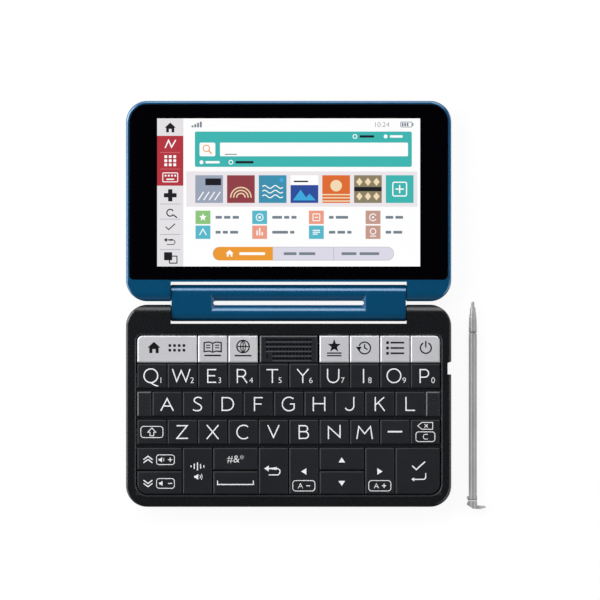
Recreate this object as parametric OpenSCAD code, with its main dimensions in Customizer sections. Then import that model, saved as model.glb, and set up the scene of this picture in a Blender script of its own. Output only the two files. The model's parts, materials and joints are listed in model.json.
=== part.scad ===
// Electronic dictionary: a slim clamshell with a touch screen in the lid, 47 keys in the base,
// a link with two hinge axes between them, and a stylus that lies beside the base.
// Rest pose: open flat, lid behind the base. Origin: centre of the base's underside, +Y to the lid.

/* [Cases] */
// Border of the base beside the key well
side_border = 4.7; // [4.6:0.1:6]
// Border of the base in front of the key well
front_border = 5.5; // [5:0.1:6.5]
// Border of the base between the key well and the hinge edge
back_border = 14.11; // [13:0.01:16]
// Thickness of each half
half_t = 9.3; // [9.2:0.1:11]
// Corner radius of both halves, seen from above
corner_r = 10; // [8:0.25:12]
// Side wall of the shells
wall = 1.6; // [1.2:0.1:1.8]
// Flat wall of the lower case and of the lid's back
floor_t = 1.2; // [1:0.1:1.4]
// Thickness of the deck that the keys come through
deck_t = 1.8; // [1.6:0.1:2]
// Height of the joint line between the two shells of a half
parting_z = 2.8; // [2.4:0.1:3]
// Width of the rounded upper edge of the base
base_edge_w = 1.5; // [0.6:0.1:1.8]
// Width of the rounded upper edge of the lid
lid_edge_w = 1.3; // [0.6:0.1:1.5]
// Height of the rounded upper edges
edge_h = 1.0; // [0.4:0.1:1.4]
// Radius of the rounded edges of both outer faces
outer_edge = 1.2; // [0.6:0.1:1.4]

/* [Hinge] */
// Gap between the two halves when they are folded together
fold_gap = 0.2; // [0.15:0.05:0.6]
// Gap between the two halves when they lie flat
open_gap = 1.6; // [1.2:0.1:2.2]
// Width of the link that carries both hinge axes
link_w = 110; // [100:1:114]
// Radius of the link's two barrels
barrel_r = 3.85; // [3.6:0.05:4]
// Gap between each end of the link and the ear beside it
link_side_gap = 0.4; // [0.3:0.05:0.8]
// Gap between the link and the base's notch
base_notch_gap = 1.1; // [0.6:0.05:1.6]
// Gap between the link and the lid's notch
lid_notch_gap = 1.35; // [0.6:0.05:1.6]
// Length of the open slot between the barrels
slot_len = 70.7; // [60:0.1:80]
// Bevel at the ends of the slot
slot_bevel = 1.8; // [0.8:0.1:2.4]
// Radius of the steel hinge shafts
shaft_r = 1.5; // [1.2:0.05:1.6]
// Length of a shaft inside the link
shaft_seat = 6; // [5:0.5:10]
// Length of a shaft inside an ear
shaft_reach = 6.5; // [5:0.5:9]
// Radial clearance of a shaft in an ear
shaft_clear = 0.05; // [0.03:0.01:0.08]
// Radial clearance of a shaft in the link and of a screw in its hole
seat_clear = 0.02; // [0.01:0.01:0.05]

/* [Keyboard] */
// Distance between key columns
key_pitch = 14.26; // [14:0.01:14.3]
// Gap between keys in a row
key_gap = 0.55; // [0.5:0.05:0.8]
// Depth of the keys in the silver top row
top_row_d = 12.55; // [12:0.05:12.8]
// Depth of the letter keys
letter_row_d = 11.5; // [11.2:0.05:11.6]
// Depth of the tall keys in the front row
front_row_d = 21.85; // [21:0.05:22]
// Depth of the front half of a split front key
front_half_d = 10.85; // [10:0.05:11]
// Gap between rows that have a rib between them
rib_gap = 1.65; // [1.6:0.05:1.8]
// Gap between rows with no rib between them
plain_gap = 0.6; // [0.5:0.05:0.8]
// Gap between the keys and the front and back edges of the key well
well_end_gap = 0.42; // [0.3:0.02:0.5]
// Gap between the outermost column line and the sides of the key well
well_side_gap = 0.35; // [0.2:0.05:0.5]
// Depth of the key tops below the rim
key_drop = 0.3; // [0.1:0.05:0.5]
// Thickness of a key cap
cap_t = 1.4; // [1.3:0.05:1.5]
// Width of the bevel round a key's top
key_bevel_w = 0.6; // [0.3:0.05:0.9]
// Depth of the bevel round a key's top
key_bevel_h = 0.35; // [0.2:0.05:0.6]
// Travel of a key
key_travel = 0.5; // [0.3:0.05:0.55]
// Clearance between a key and the ribs
key_clear = 0.2; // [0.15:0.01:0.25]
// Corner radius of the home and power keys
back_key_r = 2.4; // [1:0.1:4]
// Corner radius of the page and enter keys at the front
front_key_r = 4.8; // [2:0.1:6]
// Corner radius of the key well at the back
well_back_r = 3.0; // [1.5:0.1:4.5]
// Corner radius of the key well at the front
well_front_r = 5.3; // [2.5:0.1:6.5]
// Chamfer round the key well
well_edge = 0.55; // [0.3:0.05:0.9]
// Thickness of the ribs between the rows
rib_t = 0.8; // [0.5:0.05:1]
// Width of a retaining tab
tab_w = 6; // [4:0.5:8]
// Length that a retaining tab reaches under its rib
tab_reach = 0.65; // [0.6:0.01:0.7]
// Thickness of a retaining tab
tab_t = 0.4; // [0.3:0.05:0.45]
// Rise that a tab has left under its rib
tab_clear = 0.1; // [0.08:0.02:0.2]
// Thickness of the skirt that carries a tab
skirt_t = 0.8; // [0.6:0.1:1.2]
// Radius of a key's stem
stem_r = 1.25; // [0.8:0.05:1.8]
// Length of a key's stem below the cap
stem_len = 0.4; // [0.3:0.05:0.45]
// Radius of a dome under a key
dome_r = 2.2; // [1.8:0.1:2.6]
// Height of a dome
dome_h = 0.3; // [0.2:0.05:0.35]
// Gap left under a pressed key's stem
dome_gap = 0.1; // [0.05:0.01:0.15]

/* [Speaker grille] */
// Diameter of a grille hole
grille_d = 1.1; // [0.8:0.05:1.3]
// Distance between grille holes in a row
grille_pitch_x = 1.56; // [1.4:0.01:1.6]
// Distance between grille rows
grille_pitch_y = 2.2; // [1.8:0.05:2.3]
// Holes in a full grille row
grille_cols = 14; // [8:1:15]
// Grille rows
grille_rows = 5; // [3:1:5]
// Width of the gap between the grille block and the keys beside it
grille_side_gap = 0.75; // [0.4:0.05:1.2]
// Length of the microphone slit beside the short rows
mic_len = 2.1; // [1:0.1:3]
// Width of the microphone slit
mic_w = 0.6; // [0.4:0.05:0.9]

/* [Screen] */
// Width of the rim round the touch panel
rim_w = 1.6; // [1.4:0.1:2.5]
// Width of the lip between the hinge notch and the touch panel
lip_w = 1.0; // [0.8:0.1:2]
// Clearance round the touch panel
panel_clear = 0.1; // [0.05:0.01:0.2]
// Depth of the touch panel below the rim
panel_drop = 0.2; // [0.1:0.05:0.4]
// Thickness of the touch panel
panel_t = 1.0; // [0.7:0.05:1.3]
// Corner radius of the touch panel beside the hinge
panel_front_r = 2.2; // [0.5:0.1:4]
// Width of the lit screen
screen_w = 123.4; // [110:0.1:126]
// Height of the lit screen
screen_h = 69.45; // [60:0.05:71]
// Border of the touch panel between the hinge and the lit screen
screen_sill = 6.2; // [5.5:0.1:7.5]
// Border of the touch panel beyond the lit screen
screen_head = 6.7; // [5.5:0.1:9]
// Border of the display module round the lit screen
lcd_border = 3.2; // [2:0.1:3.6]
// Thickness of the display module
lcd_t = 3.2; // [2:0.1:3.8]
// Width of the ledge under the touch panel
ledge_w = 2.4; // [1.5:0.1:2.8]
// Thickness of the ledge
ledge_t = 1.0; // [0.6:0.1:1.5]

/* [Board and battery] */
// Thickness of the membrane sheet
sheet_t = 0.25; // [0.15:0.05:0.35]
// Thickness of the circuit board
board_t = 0.6; // [0.4:0.05:0.7]
// Gap between the circuit board and the side walls of the case
board_side = 6.15; // [5.8:0.05:7]
// Gap between the circuit board and the front wall of the case
board_front = 5.9; // [5.5:0.1:7]
// Width of the battery
battery_w = 70; // [50:1:90]
// Depth of the battery
battery_d = 32; // [20:1:40]
// Thickness of the battery
battery_t = 3.4; // [2.4:0.1:3.6]
// Distance between the front edge of the base and the battery
battery_front = 8; // [6:0.5:12]
// Width of the speaker
speaker_w = 22; // [16:1:24]
// Depth of the speaker
speaker_d = 10; // [8:0.5:11]
// Thickness of the speaker
speaker_t = 3; // [2:0.1:3.4]

/* [Ports] */
// Distance between the back edge of the board and the phone jack's axis
jack_back = 5.84; // [4:0.02:8]
// Radius of the phone jack's bore
jack_r = 1.8; // [1.76:0.01:1.85]
// Depth of the phone jack's bore, from the side of the case
jack_depth = 14; // [13:0.5:15]
// Width of the hole in the case over the phone jack
jack_hole_w = 5; // [4.6:0.1:5.4]
// Height of the hole in the case over the phone jack
jack_hole_h = 4.4; // [4.3:0.05:4.4]
// Width of the charging port
usb_w = 7.5; // [7:0.1:9]
// Height of the charging port
usb_h = 2.45; // [2:0.05:2.6]
// Distance between the back edge of the board and the middle of the charging port
usb_back = 20.5; // [17:0.5:23]
// Width of the memory card slot
card_w = 11.4; // [11:0.1:12]
// Height of the memory card slot
card_h = 1.4; // [1.2:0.05:1.6]
// Distance between the back edge of the board and the middle of the memory card slot
card_back = 48; // [45:0.5:54]

/* [Screws and feet] */
// Distance between the case screws and the case's sides
screw_side = 5.15; // [5:0.05:5.3]
// Distance between the front screws and the front edge
screw_front = 5.3; // [5:0.1:5.5]
// Distance between the hinge edge and the middle screws
screw_middle = 50.4; // [48:0.2:54]
// Distance between the hinge edge and the back screws
screw_back = 6.6; // [6:0.1:8]
// Radius of a screw's thread
screw_r = 0.85; // [0.7:0.05:1]
// Radius of a screw's head
head_r = 1.5; // [1.3:0.05:1.7]
// Height of a screw's head
head_t = 0.9; // [0.6:0.05:1]
// Depth of a screw's head below the underside
head_sink = 0.2; // [0.1:0.05:0.3]
// Length of a screw below its head
screw_len = 4.8; // [3:0.1:5]
// Radius of a rubber foot's recess
foot_r = 4; // [3:0.25:5]
// Depth of a rubber foot's recess
foot_depth = 0.5; // [0.3:0.05:0.7]
// Distance between the feet and the case's sides
foot_side = 14; // [12:0.5:20]
// Distance between the feet and the front and back edges
foot_end = 14; // [12:0.5:16]

/* [Stylus] */
// Length of the stylus
stylus_len = 97.65; // [90:0.05:100]
// Radius of the stylus
stylus_r = 1.925; // [1.8:0.025:2]
// Length of the tapered end of the stylus
taper_len = 11.2; // [8:0.1:14]
// Radius of the stylus where the taper meets the nib
taper_r = 1.15; // [1:0.05:1.3]
// Radius of the nib
nib_r = 0.75; // [0.5:0.05:0.9]
// Length of the nib outside the barrel
nib_len = 2.7; // [2:0.1:3.5]
// Depth of the ring groove in the stylus
groove_t = 0.3; // [0.1:0.05:0.5]
// Width of the ring groove
groove_w = 0.6; // [0.3:0.05:1]
// Length of the stylus's foot block
foot_block = 5.9; // [5:0.1:7]
// Reach of the foot block's lugs past the shaft
lug = 0.9; // [0.5:0.05:0.95]
// Reach of the tail past the shaft
tail_len = 4.2; // [3:0.1:4.4]
// Thickness of the tail
tail_t = 1.6; // [1.2:0.1:1.7]
// Distance between the base's side and the stylus's axis as it lies beside it
stylus_beside = 10.3; // [6:0.1:20]
// Distance between the hinge edge of the base and the stylus's nib end, as it lies
stylus_ahead = 1.55; // [0:0.05:10]
// Width and height of the square tunnel that stores the stylus
silo_w = 4.3; // [4.25:0.05:4.35]
// Floor below the tunnel
silo_floor = 0.85; // [0.7:0.05:0.9]
// Wall beside the tunnel
silo_wall = 0.9; // [0.6:0.1:1.2]
// Distance between the hinge edge and the tunnel's axis
silo_back = 30.05; // [29.9:0.05:30.2]
// Length of the grip notch in the base's side
notch_len = 5.4; // [5:0.1:6]
// Depth of the grip notch
notch_depth = 1.75; // [1.6:0.05:2]

/* [Hidden] */
$fn = 64;
OVER = 1;
EDGE_STEPS = 4;

// The case is as wide and as deep as its key well and borders, and the lid as its screen and borders
columns = 10;
well_x = columns * key_pitch / 2 + well_side_gap;
side_x = well_x + side_border;
keys_d = front_row_d + 3 * (rib_gap + letter_row_d) + plain_gap + top_row_d;
base_d = front_border + 2 * well_end_gap + keys_d + back_border;

// Places along Y
base_front = -base_d / 2;
base_back = base_d / 2;
edge_reach = (half_t + fold_gap - open_gap) / 2;
axis_z = half_t / 2;
base_axis_y = base_back - edge_reach;
lid_front = base_back + open_gap;
lid_axis_y = lid_front + edge_reach;
base_notch_y = base_axis_y - barrel_r - base_notch_gap;
lid_notch_y = lid_axis_y + barrel_r + lid_notch_gap;
panel_y0 = lid_notch_y + lip_w;
screen_y0 = panel_y0 + screen_sill;
panel_y1 = screen_y0 + screen_h + screen_head;
lid_back = panel_y1 + rim_w;
ear_x = link_w / 2 + link_side_gap;
inner_x = side_x - wall;
inner_r = corner_r - wall;

// Heights inside the base, from the key tops down
key_top = half_t - key_drop;
cap_under = key_top - cap_t;
deck_under = half_t - deck_t;
tab_top = deck_under - tab_clear;
stem_end = cap_under - stem_len;
dome_top = stem_end - key_travel - dome_gap;
sheet_top = dome_top - dome_h;
sheet_under = sheet_top - sheet_t;
board_under = sheet_under - board_t;

// Key rows: each is [front edge, back edge]
well_front = base_front + front_border;
front_y0 = well_front + well_end_gap;
front_y1 = front_y0 + front_row_d;
row3_y0 = front_y1 + rib_gap;
row2_y0 = row3_y0 + letter_row_d + rib_gap;
row1_y0 = row2_y0 + letter_row_d + rib_gap;
row0_y0 = row1_y0 + letter_row_d + plain_gap;
row0_y1 = row0_y0 + top_row_d;
well_back = row0_y1 + well_end_gap;
column_x0 = -columns * key_pitch / 2;
ROWS = [
    [row0_y0, row0_y1],
    [row1_y0, row1_y0 + letter_row_d],
    [row2_y0, row2_y0 + letter_row_d],
    [row3_y0, row3_y0 + letter_row_d],
    [front_y0 + front_half_d + plain_gap, front_y1],
    [front_y0, front_y0 + front_half_d],
    [front_y0, front_y1]
];
// Rows of ROWS with a rib or the deck behind them, and with one in front of them
TAB_BEHIND = [0, 2, 3, 4, 6];
TAB_BEFORE = [1, 2, 3, 5, 6];
BACK_HALF = 4;
FRONT_HALF = 5;
TALL = 6;

// Keys: [name, first column line, width in columns, row, rounded corner as [x side, y side]]
function letters(names, first, row) =
    [for (i = [0 : len(names) - 1]) [str("key_", names[i]), first + i, 1, row, [0, 0]]];
KEYS = concat(
    [
        ["key_home", 0, 2, 0, [-1, 1]],
        ["key_dictionary_a", 2, 1, 0, [0, 0]],
        ["key_dictionary_b", 3, 1, 0, [0, 0]],
        ["key_favourites", 6, 1, 0, [0, 0]],
        ["key_history", 7, 1, 0, [0, 0]],
        ["key_contents", 8, 1, 0, [0, 0]],
        ["key_power", 9, 1, 0, [1, 1]]
    ],
    letters(["q", "w", "e", "r", "t", "y", "u", "i", "o", "p"], 0, 1),
    letters(["a", "s", "d", "f", "g", "h", "j", "k", "l"], 0.5, 2),
    letters(["shift", "z", "x", "c", "v", "b", "n", "m", "dash", "delete"], 0, 3),
    [
        ["key_page_up", 0, 1.5, BACK_HALF, [0, 0]],
        ["key_page_down", 0, 1.5, FRONT_HALF, [-1, -1]],
        ["key_speak", 1.5, 1, TALL, [0, 0]],
        ["key_symbol", 2.5, 1.5, BACK_HALF, [0, 0]],
        ["key_space", 2.5, 1.5, FRONT_HALF, [0, 0]],
        ["key_back", 4, 1, TALL, [0, 0]],
        ["key_left", 5, 1, TALL, [0, 0]],
        ["key_up", 6, 1.5, BACK_HALF, [0, 0]],
        ["key_down", 6, 1.5, FRONT_HALF, [0, 0]],
        ["key_right", 7.5, 1, TALL, [0, 0]],
        ["key_enter", 8.5, 1.5, TALL, [1, -1]]
    ]
);
SILVER_ROW = 0;

// Touch panel and display module
panel_x = side_x - rim_w;
panel_top = half_t - panel_drop;
panel_under = panel_top - panel_t;
panel_back_r = corner_r - rim_w;
ledge_under = panel_under - ledge_t;

// Board, battery and speaker
board_x = inner_x - board_side;
board_y0 = base_front + wall + board_front;
board_y1 = well_back - 1.5;
board_gap = 0.2;
grille_x = key_pitch - grille_side_gap;
bay_x = key_pitch + 0.5;
bay_y = row0_y0 - 0.2;
speaker_y = (row0_y0 + row0_y1) / 2;
battery_y0 = base_front + battery_front;
battery_rib_t = 1;
battery_rib_h = 2;
battery_clear = 0.3;
component_t = 1.05;
// Chips: [distance of the left edge from the board's right edge, of the front edge from its front, side]
CHIPS = [[24.5, 16, 14], [24.5, 36, 11], [8.5, 26, 8]];
// Connectors: distance of the left edge from the board's right edge
CONNECTORS = [42.5, 28.5];
connector_w = 9;
connector_d = 3.5;
// How far the sockets reach under the board
usb_reach = 5.5;
card_reach = 14;

// Ports on the left side
jack_y = board_y1 - jack_back;
jack_half = (board_under - silo_floor - 0.5) / 2;
jack_z = board_under - jack_half;
usb_y = board_y1 - usb_back;
card_y = board_y1 - card_back;
port_clear = 0.25;
port_gap = 0.15;
jack_w = 6;

// Stylus tunnel
silo_y = base_back - silo_back;
silo_top = silo_floor + silo_w;
silo_z = silo_floor + silo_w / 2;
silo_mouth_x = side_x - notch_depth;
silo_end_x = silo_mouth_x - (stylus_len - tail_t) - 0.5;
foot_pocket = foot_block - tail_t + 0.3;
guard_t = 1.2;
guard_x = silo_mouth_x - guard_t;
board_clear = 0.3;
shelf_top = cap_under - key_travel - board_clear;
notch_slope = 1.1;
stylus_x = side_x + stylus_beside;
stylus_y1 = base_back + stylus_ahead;

// Screws
screw_x = side_x - screw_side;
SCREW_YS = [base_front + screw_front, base_back - screw_middle, base_back - screw_back];
boss_r = 2.1;
shank_z = head_sink + head_t;
bore_over = 0.3;

// A box between two corners
module block(x0, x1, y0, y1, z0, z1) {
    translate([x0, y0, z0]) cube([x1 - x0, y1 - y0, z1 - z0]);
}

// An outline drawn in Y and Z, run along X
module along_x(x0, x1) {
    translate([x0, 0, 0]) rotate([90, 0, 90]) linear_extrude(x1 - x0) children();
}

// An outline drawn in X and Z, run along Y
module along_y(y0, y1) {
    translate([0, y1, 0]) rotate([90, 0, 0]) linear_extrude(y1 - y0) children();
}

// A rod along X
module rod(x0, x1, y, z, r) {
    translate([x0, y, z]) rotate([0, 90, 0]) cylinder(h = x1 - x0, r = r);
}

// Cross-section between two side lines, from rows of [inset, height] read upwards
module section(a0, a1, edge) {
    n = len(edge);
    polygon(concat(
        [for (p = edge) [a1 - p[0], p[1]]],
        [for (i = [n - 1 : -1 : 0]) [a0 + edge[i][0], edge[i][1]]]
    ));
}

// Rows of [inset, height] for a rounded upper edge under height z, and for a rounded lower edge
function round_over(w, h, z) =
    [for (i = [0 : EDGE_STEPS]) [w * (1 - cos(90 * i / EDGE_STEPS)), z - h + h * sin(90 * i / EDGE_STEPS)]];
function round_under(r) =
    [for (i = [EDGE_STEPS : -1 : 0]) [r * (1 - cos(90 * i / EDGE_STEPS)), r - r * sin(90 * i / EDGE_STEPS)]];

// Slab with rounded corners whose outline moves in by an inset at each height
module slab(x0, x1, y0, y1, r, edge) {
    n = len(edge);
    along_x(x0 + r, x1 - r) section(y0, y1, edge);
    along_y(y0 + r, y1 - r) section(x0, x1, edge);
    for (x = [x0 + r, x1 - r], y = [y0 + r, y1 - r])
        translate([x, y, 0]) rotate_extrude() polygon(concat(
            [[0, edge[0][1]]],
            [for (p = edge) [r - p[0], p[1]]],
            [[0, edge[n - 1][1]]]
        ));
}

// The same slab with one radius at the front and another at the back
module slab_two_radii(x0, x1, y0, y1, r_front, r_back, edge) {
    intersection() {
        slab(x0, x1, y0, y1 + 3 * r_front, r_front, edge);
        slab(x0, x1, y0 - 3 * r_back, y1, r_back, edge);
    }
}

// Both halves: the edge beside the hinge keeps inside the swing radius and is cut flat
module hinge_side(y_axis, toward) {
    along_x(-side_x - OVER, side_x + OVER) intersection() {
        union() {
            translate([y_axis, axis_z]) circle(r = half_t / 2);
            translate([toward > 0 ? y_axis - 2 * base_d : y_axis, 0]) square([2 * base_d, half_t]);
        }
        translate([toward > 0 ? y_axis + edge_reach - 2 * base_d : y_axis - edge_reach, 0])
            square([2 * base_d, half_t]);
    }
}

module base_blank() {
    intersection() {
        slab(-side_x, side_x, base_front, base_back, corner_r,
             concat(round_under(outer_edge), round_over(base_edge_w, edge_h, half_t)));
        hinge_side(base_axis_y, 1);
    }
}

module lid_blank() {
    intersection() {
        slab(-side_x, side_x, lid_front, lid_back, corner_r,
             concat(round_under(outer_edge), round_over(lid_edge_w, edge_h, half_t)));
        hinge_side(lid_axis_y, -1);
    }
}

module base_link_notch() {
    block(-ear_x, ear_x, base_notch_y, base_back + OVER, -OVER, half_t + OVER);
}

module lid_link_notch() {
    block(-ear_x, ear_x, lid_front - OVER, lid_notch_y, -OVER, half_t + OVER);
}

// Hollow inside the base, in front of the ears
module base_hollow(z0, z1) {
    intersection() {
        slab(-inner_x, inner_x, base_front + wall, base_back, inner_r, [[0, z0], [0, z1]]);
        block(-inner_x, inner_x, base_front, base_notch_y - wall, z0, z1);
    }
}

// Hollow inside the lid, behind the ears
module lid_hollow(z0, z1) {
    intersection() {
        slab(-inner_x, inner_x, lid_front, lid_back - wall, inner_r, [[0, z0], [0, z1]]);
        block(-inner_x, inner_x, panel_y0 + wall / 2, lid_back, z0, z1);
    }
}

// Bores for the shafts in the two ears of a half
module ear_bores(y_axis) {
    for (side = [-1, 1])
        mirror([side < 0 ? 1 : 0, 0, 0])
            rod(ear_x - OVER, ear_x + shaft_reach + bore_over, y_axis, axis_z, shaft_r + shaft_clear);
}

// Square tunnel for the stylus, with the pocket for its foot and the grip notch in the side
module stylus_tunnel() {
    block(silo_end_x, silo_mouth_x + OVER, silo_y - silo_w / 2, silo_y + silo_w / 2,
          silo_floor, silo_top);
    block(silo_mouth_x - foot_pocket, silo_mouth_x + OVER, silo_y - silo_w / 2, silo_y + silo_w / 2,
          -OVER, silo_z);
    translate([0, silo_y, -OVER]) linear_extrude(half_t + 2 * OVER)
        polygon([
            [silo_mouth_x, -notch_len / 2],
            [side_x + OVER, -notch_len / 2],
            [side_x + OVER, notch_len / 2 + notch_slope],
            [silo_mouth_x, notch_len / 2]
        ]);
}

// Holes in the left wall over the phone jack, the charging port and the card slot
module port_holes() {
    x0 = -side_x - OVER;
    x1 = -inner_x + OVER / 4;
    block(x0, x1, jack_y - jack_hole_w / 2, jack_y + jack_hole_w / 2,
          jack_z - jack_hole_h / 2, jack_z + jack_hole_h / 2);
    for (port = [[usb_y, usb_w, usb_h], [card_y, card_w, card_h]])
        block(x0, x1, port[0] - port[1] / 2 - port_clear, port[0] + port[1] / 2 + port_clear,
              board_under - port[2] - port_clear, board_under + port_clear);
}

module at_screws() {
    for (side = [-1, 1], y = SCREW_YS) translate([side * screw_x, y, 0]) children();
}

// Block of a key, bevelled on all four sides of its top
module bevelled_block(x0, x1, y0, y1, z0, z1) {
    edge = [[0, z0], [0, z1 - key_bevel_h], [key_bevel_w, z1]];
    intersection() {
        along_x(x0, x1) section(y0, y1, edge);
        along_y(y0, y1) section(x0, x1, edge);
    }
}

module lower_case() {
    color("#1b1c1f") difference() {
        union() {
            difference() {
                intersection() {
                    base_blank();
                    block(-side_x, side_x, base_front, base_back, 0, parting_z);
                }
                base_hollow(floor_t, parting_z + OVER);
            }
            // Walls of the stylus tunnel: below the joint line they reach the case's wall
            block(silo_end_x - silo_wall, inner_x + wall / 2, silo_y - silo_w / 2 - silo_wall,
                  silo_y + silo_w / 2 + silo_wall, floor_t / 2, parting_z);
            block(silo_end_x - silo_wall, silo_mouth_x, silo_y - silo_w / 2 - silo_wall,
                  silo_y + silo_w / 2 + silo_wall, floor_t / 2, board_under - board_gap);
            at_screws() translate([0, 0, floor_t / 2])
                cylinder(h = parting_z - floor_t / 2, r = boss_r);
            battery_ribs();
        }
        // The tunnel is open upwards and the circuit board covers it
        block(silo_end_x, silo_mouth_x + OVER, silo_y - silo_w / 2, silo_y + silo_w / 2,
              silo_top - OVER, half_t);
        stylus_tunnel();
        base_link_notch();
        port_holes();
        at_screws() {
            translate([0, 0, -OVER]) cylinder(h = OVER + shank_z, r = head_r + 0.2);
            cylinder(h = parting_z + OVER, r = screw_r + 0.1);
        }
        for (side = [-1, 1], y = [base_front + foot_end, base_axis_y - foot_end])
            translate([side * (side_x - foot_side), y, -OVER]) cylinder(h = OVER + foot_depth, r = foot_r);
    }
}

// Low frame round the battery
module battery_ribs() {
    bx = battery_w / 2 + battery_clear;
    y0 = battery_y0 - battery_clear;
    y1 = battery_y0 + battery_d + battery_clear;
    t = battery_rib_t;
    difference() {
        block(-bx - t, bx + t, y0 - t, y1 + t, floor_t / 2, floor_t + battery_rib_h);
        block(-bx, bx, y0, y1, 0, floor_t + battery_rib_h + OVER);
        // Gaps in the frame for the battery's leads
        block(-bx / 3, bx / 3, y0 - 2 * t, y1 + 2 * t, floor_t + battery_rib_h / 2, half_t);
    }
}

// Ribs between the key rows, from the deck on one side to the deck on the other
module row_ribs() {
    for (y0 = [front_y1, row3_y0 + letter_row_d, row2_y0 + letter_row_d])
        block(-well_x - OVER, well_x + OVER, y0 + key_clear, y0 + rib_gap - key_clear,
              deck_under, deck_under + rib_t);
}

// Half-width blank blocks at both ends of the row that starts half a key in
module row_blanks() {
    for (side = [-1, 1]) mirror([side < 0 ? 1 : 0, 0, 0]) {
        x0 = well_x - well_side_gap - key_pitch / 2 + key_gap / 2;
        bevelled_block(x0, well_x - well_side_gap - key_gap / 2, ROWS[2][0], ROWS[2][1],
                       deck_under, key_top);
        block(x0, well_x + OVER, ROWS[2][0] - rib_gap / 2, ROWS[2][1] + rib_gap / 2,
              deck_under, deck_under + rib_t);
    }
}

// Block in the top row with the speaker holes and the microphone slit
module grille_block() {
    difference() {
        union() {
            bevelled_block(-grille_x, grille_x, row0_y0, row0_y1, deck_under, key_top);
            block(-grille_x, grille_x, row0_y1 - key_bevel_w, well_back + OVER,
                  deck_under, deck_under + rib_t);
        }
        x0 = -(grille_cols - 1) * grille_pitch_x / 2;
        y0 = speaker_y + (grille_rows - 1) * grille_pitch_y / 2;
        for (row = [0 : grille_rows - 1], i = [(row < 3 ? 0 : 2) : grille_cols - 1])
            translate([x0 + i * grille_pitch_x, y0 - row * grille_pitch_y, deck_under - OVER])
                cylinder(h = deck_t + 2 * OVER, d = grille_d);
        block(x0 - mic_w / 2, x0 + mic_w / 2, y0 - 3.5 * grille_pitch_y - mic_len / 2,
              y0 - 3.5 * grille_pitch_y + mic_len / 2, deck_under - OVER, half_t);
    }
}

module upper_case() {
    color("#232427") difference() {
        union() {
            difference() {
                intersection() {
                    base_blank();
                    block(-side_x, side_x, base_front, base_back, parting_z, half_t);
                }
                base_hollow(parting_z - OVER, deck_under);
                slab_two_radii(-well_x, well_x, well_front, well_back, well_front_r, well_back_r,
                               [[0, deck_under - OVER], [0, half_t - well_edge], [-well_edge, half_t]]);
            }
            row_ribs();
            row_blanks();
            grille_block();
            at_screws() translate([0, 0, parting_z])
                cylinder(h = deck_under + OVER / 2 - parting_z, r = boss_r);
            // Wall above the tunnel, behind the grip notch, and a shelf from it under the last key
            block(guard_x, inner_x + wall / 2, silo_y - notch_len, silo_y + notch_len,
                  board_under, deck_under);
            block(board_x + board_clear, guard_x + OVER, silo_y - notch_len, silo_y + notch_len,
                  board_under, shelf_top);
        }
        stylus_tunnel();
        base_link_notch();
        port_holes();
        ear_bores(base_axis_y);
        at_screws() cylinder(h = shank_z + screw_len + bore_over, r = screw_r + seat_clear);
    }
}

module battery() {
    color("#8d9196") {
        block(-battery_w / 2, battery_w / 2, battery_y0, battery_y0 + battery_d,
              floor_t, floor_t + battery_t);
    }
}

module board_outline() {
    difference() {
        translate([-board_x, board_y0]) square([2 * board_x, board_y1 - board_y0]);
        translate([-bay_x, bay_y]) square([2 * bay_x, board_y1]);
    }
}

// Circuit board with its chips, phone jack, charging port and card socket, and the speaker beside it
module main_board() {
    color("#1f5a3a") {
        translate([0, 0, board_under]) linear_extrude(board_t) board_outline();
        phone_jack();
        port_shell(usb_y, usb_w, usb_h, usb_reach);
        port_shell(card_y, card_w, card_h, card_reach);
        for (chip = CHIPS)
            translate([board_x - chip[0], board_y0 + chip[1], board_under - component_t])
                cube([chip[2], chip[2], component_t]);
        for (x = CONNECTORS)
            translate([board_x - x, board_y1 - OVER - connector_d, board_under - component_t])
                cube([connector_w, connector_d, component_t]);
    }
    color("#2b2d31") {
        block(-speaker_w / 2, speaker_w / 2, speaker_y - speaker_d / 2, speaker_y + speaker_d / 2,
              deck_under - speaker_t, deck_under);
    }
}

// Phone jack, behind the hole in the wall
module phone_jack() {
    difference() {
        block(-inner_x + port_gap, -side_x + jack_depth + OVER, jack_y - jack_w / 2,
              jack_y + jack_w / 2, jack_z - jack_half, board_under);
        rod(-inner_x, -side_x + jack_depth, jack_y, jack_z, jack_r);
    }
}

// Hollow socket under the board, with its middle at y
module port_shell(y, w, h, reach) {
    t = 0.3;
    difference() {
        block(-inner_x + port_gap, -board_x + reach, y - w / 2, y + w / 2, board_under - h, board_under);
        block(-inner_x, -board_x + reach - OVER, y - w / 2 + t, y + w / 2 - t,
              board_under - h + t, board_under - t);
    }
}

// Membrane with a dome under every key
module key_sheet() {
    color("#d9d9d2") {
        translate([0, 0, sheet_under]) linear_extrude(sheet_t) board_outline();
        for (k = KEYS)
            translate([key_centre(k)[0], key_centre(k)[1], sheet_top - sheet_t / 2])
                cylinder(h = dome_h + sheet_t / 2, r = dome_r);
    }
}

module case_screws() {
    color("#5b5d60") at_screws() difference() {
        union() {
            translate([0, 0, head_sink]) cylinder(h = head_t, r = head_r);
            translate([0, 0, head_sink + head_t / 2]) cylinder(h = head_t / 2 + screw_len, r = screw_r);
        }
        for (turn = [0, 90])
            rotate(turn) translate([-head_r * 0.6, -0.15, 0])
                cube([head_r * 1.2, 0.3, head_sink + head_t * 0.4]);
    }
}

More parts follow.
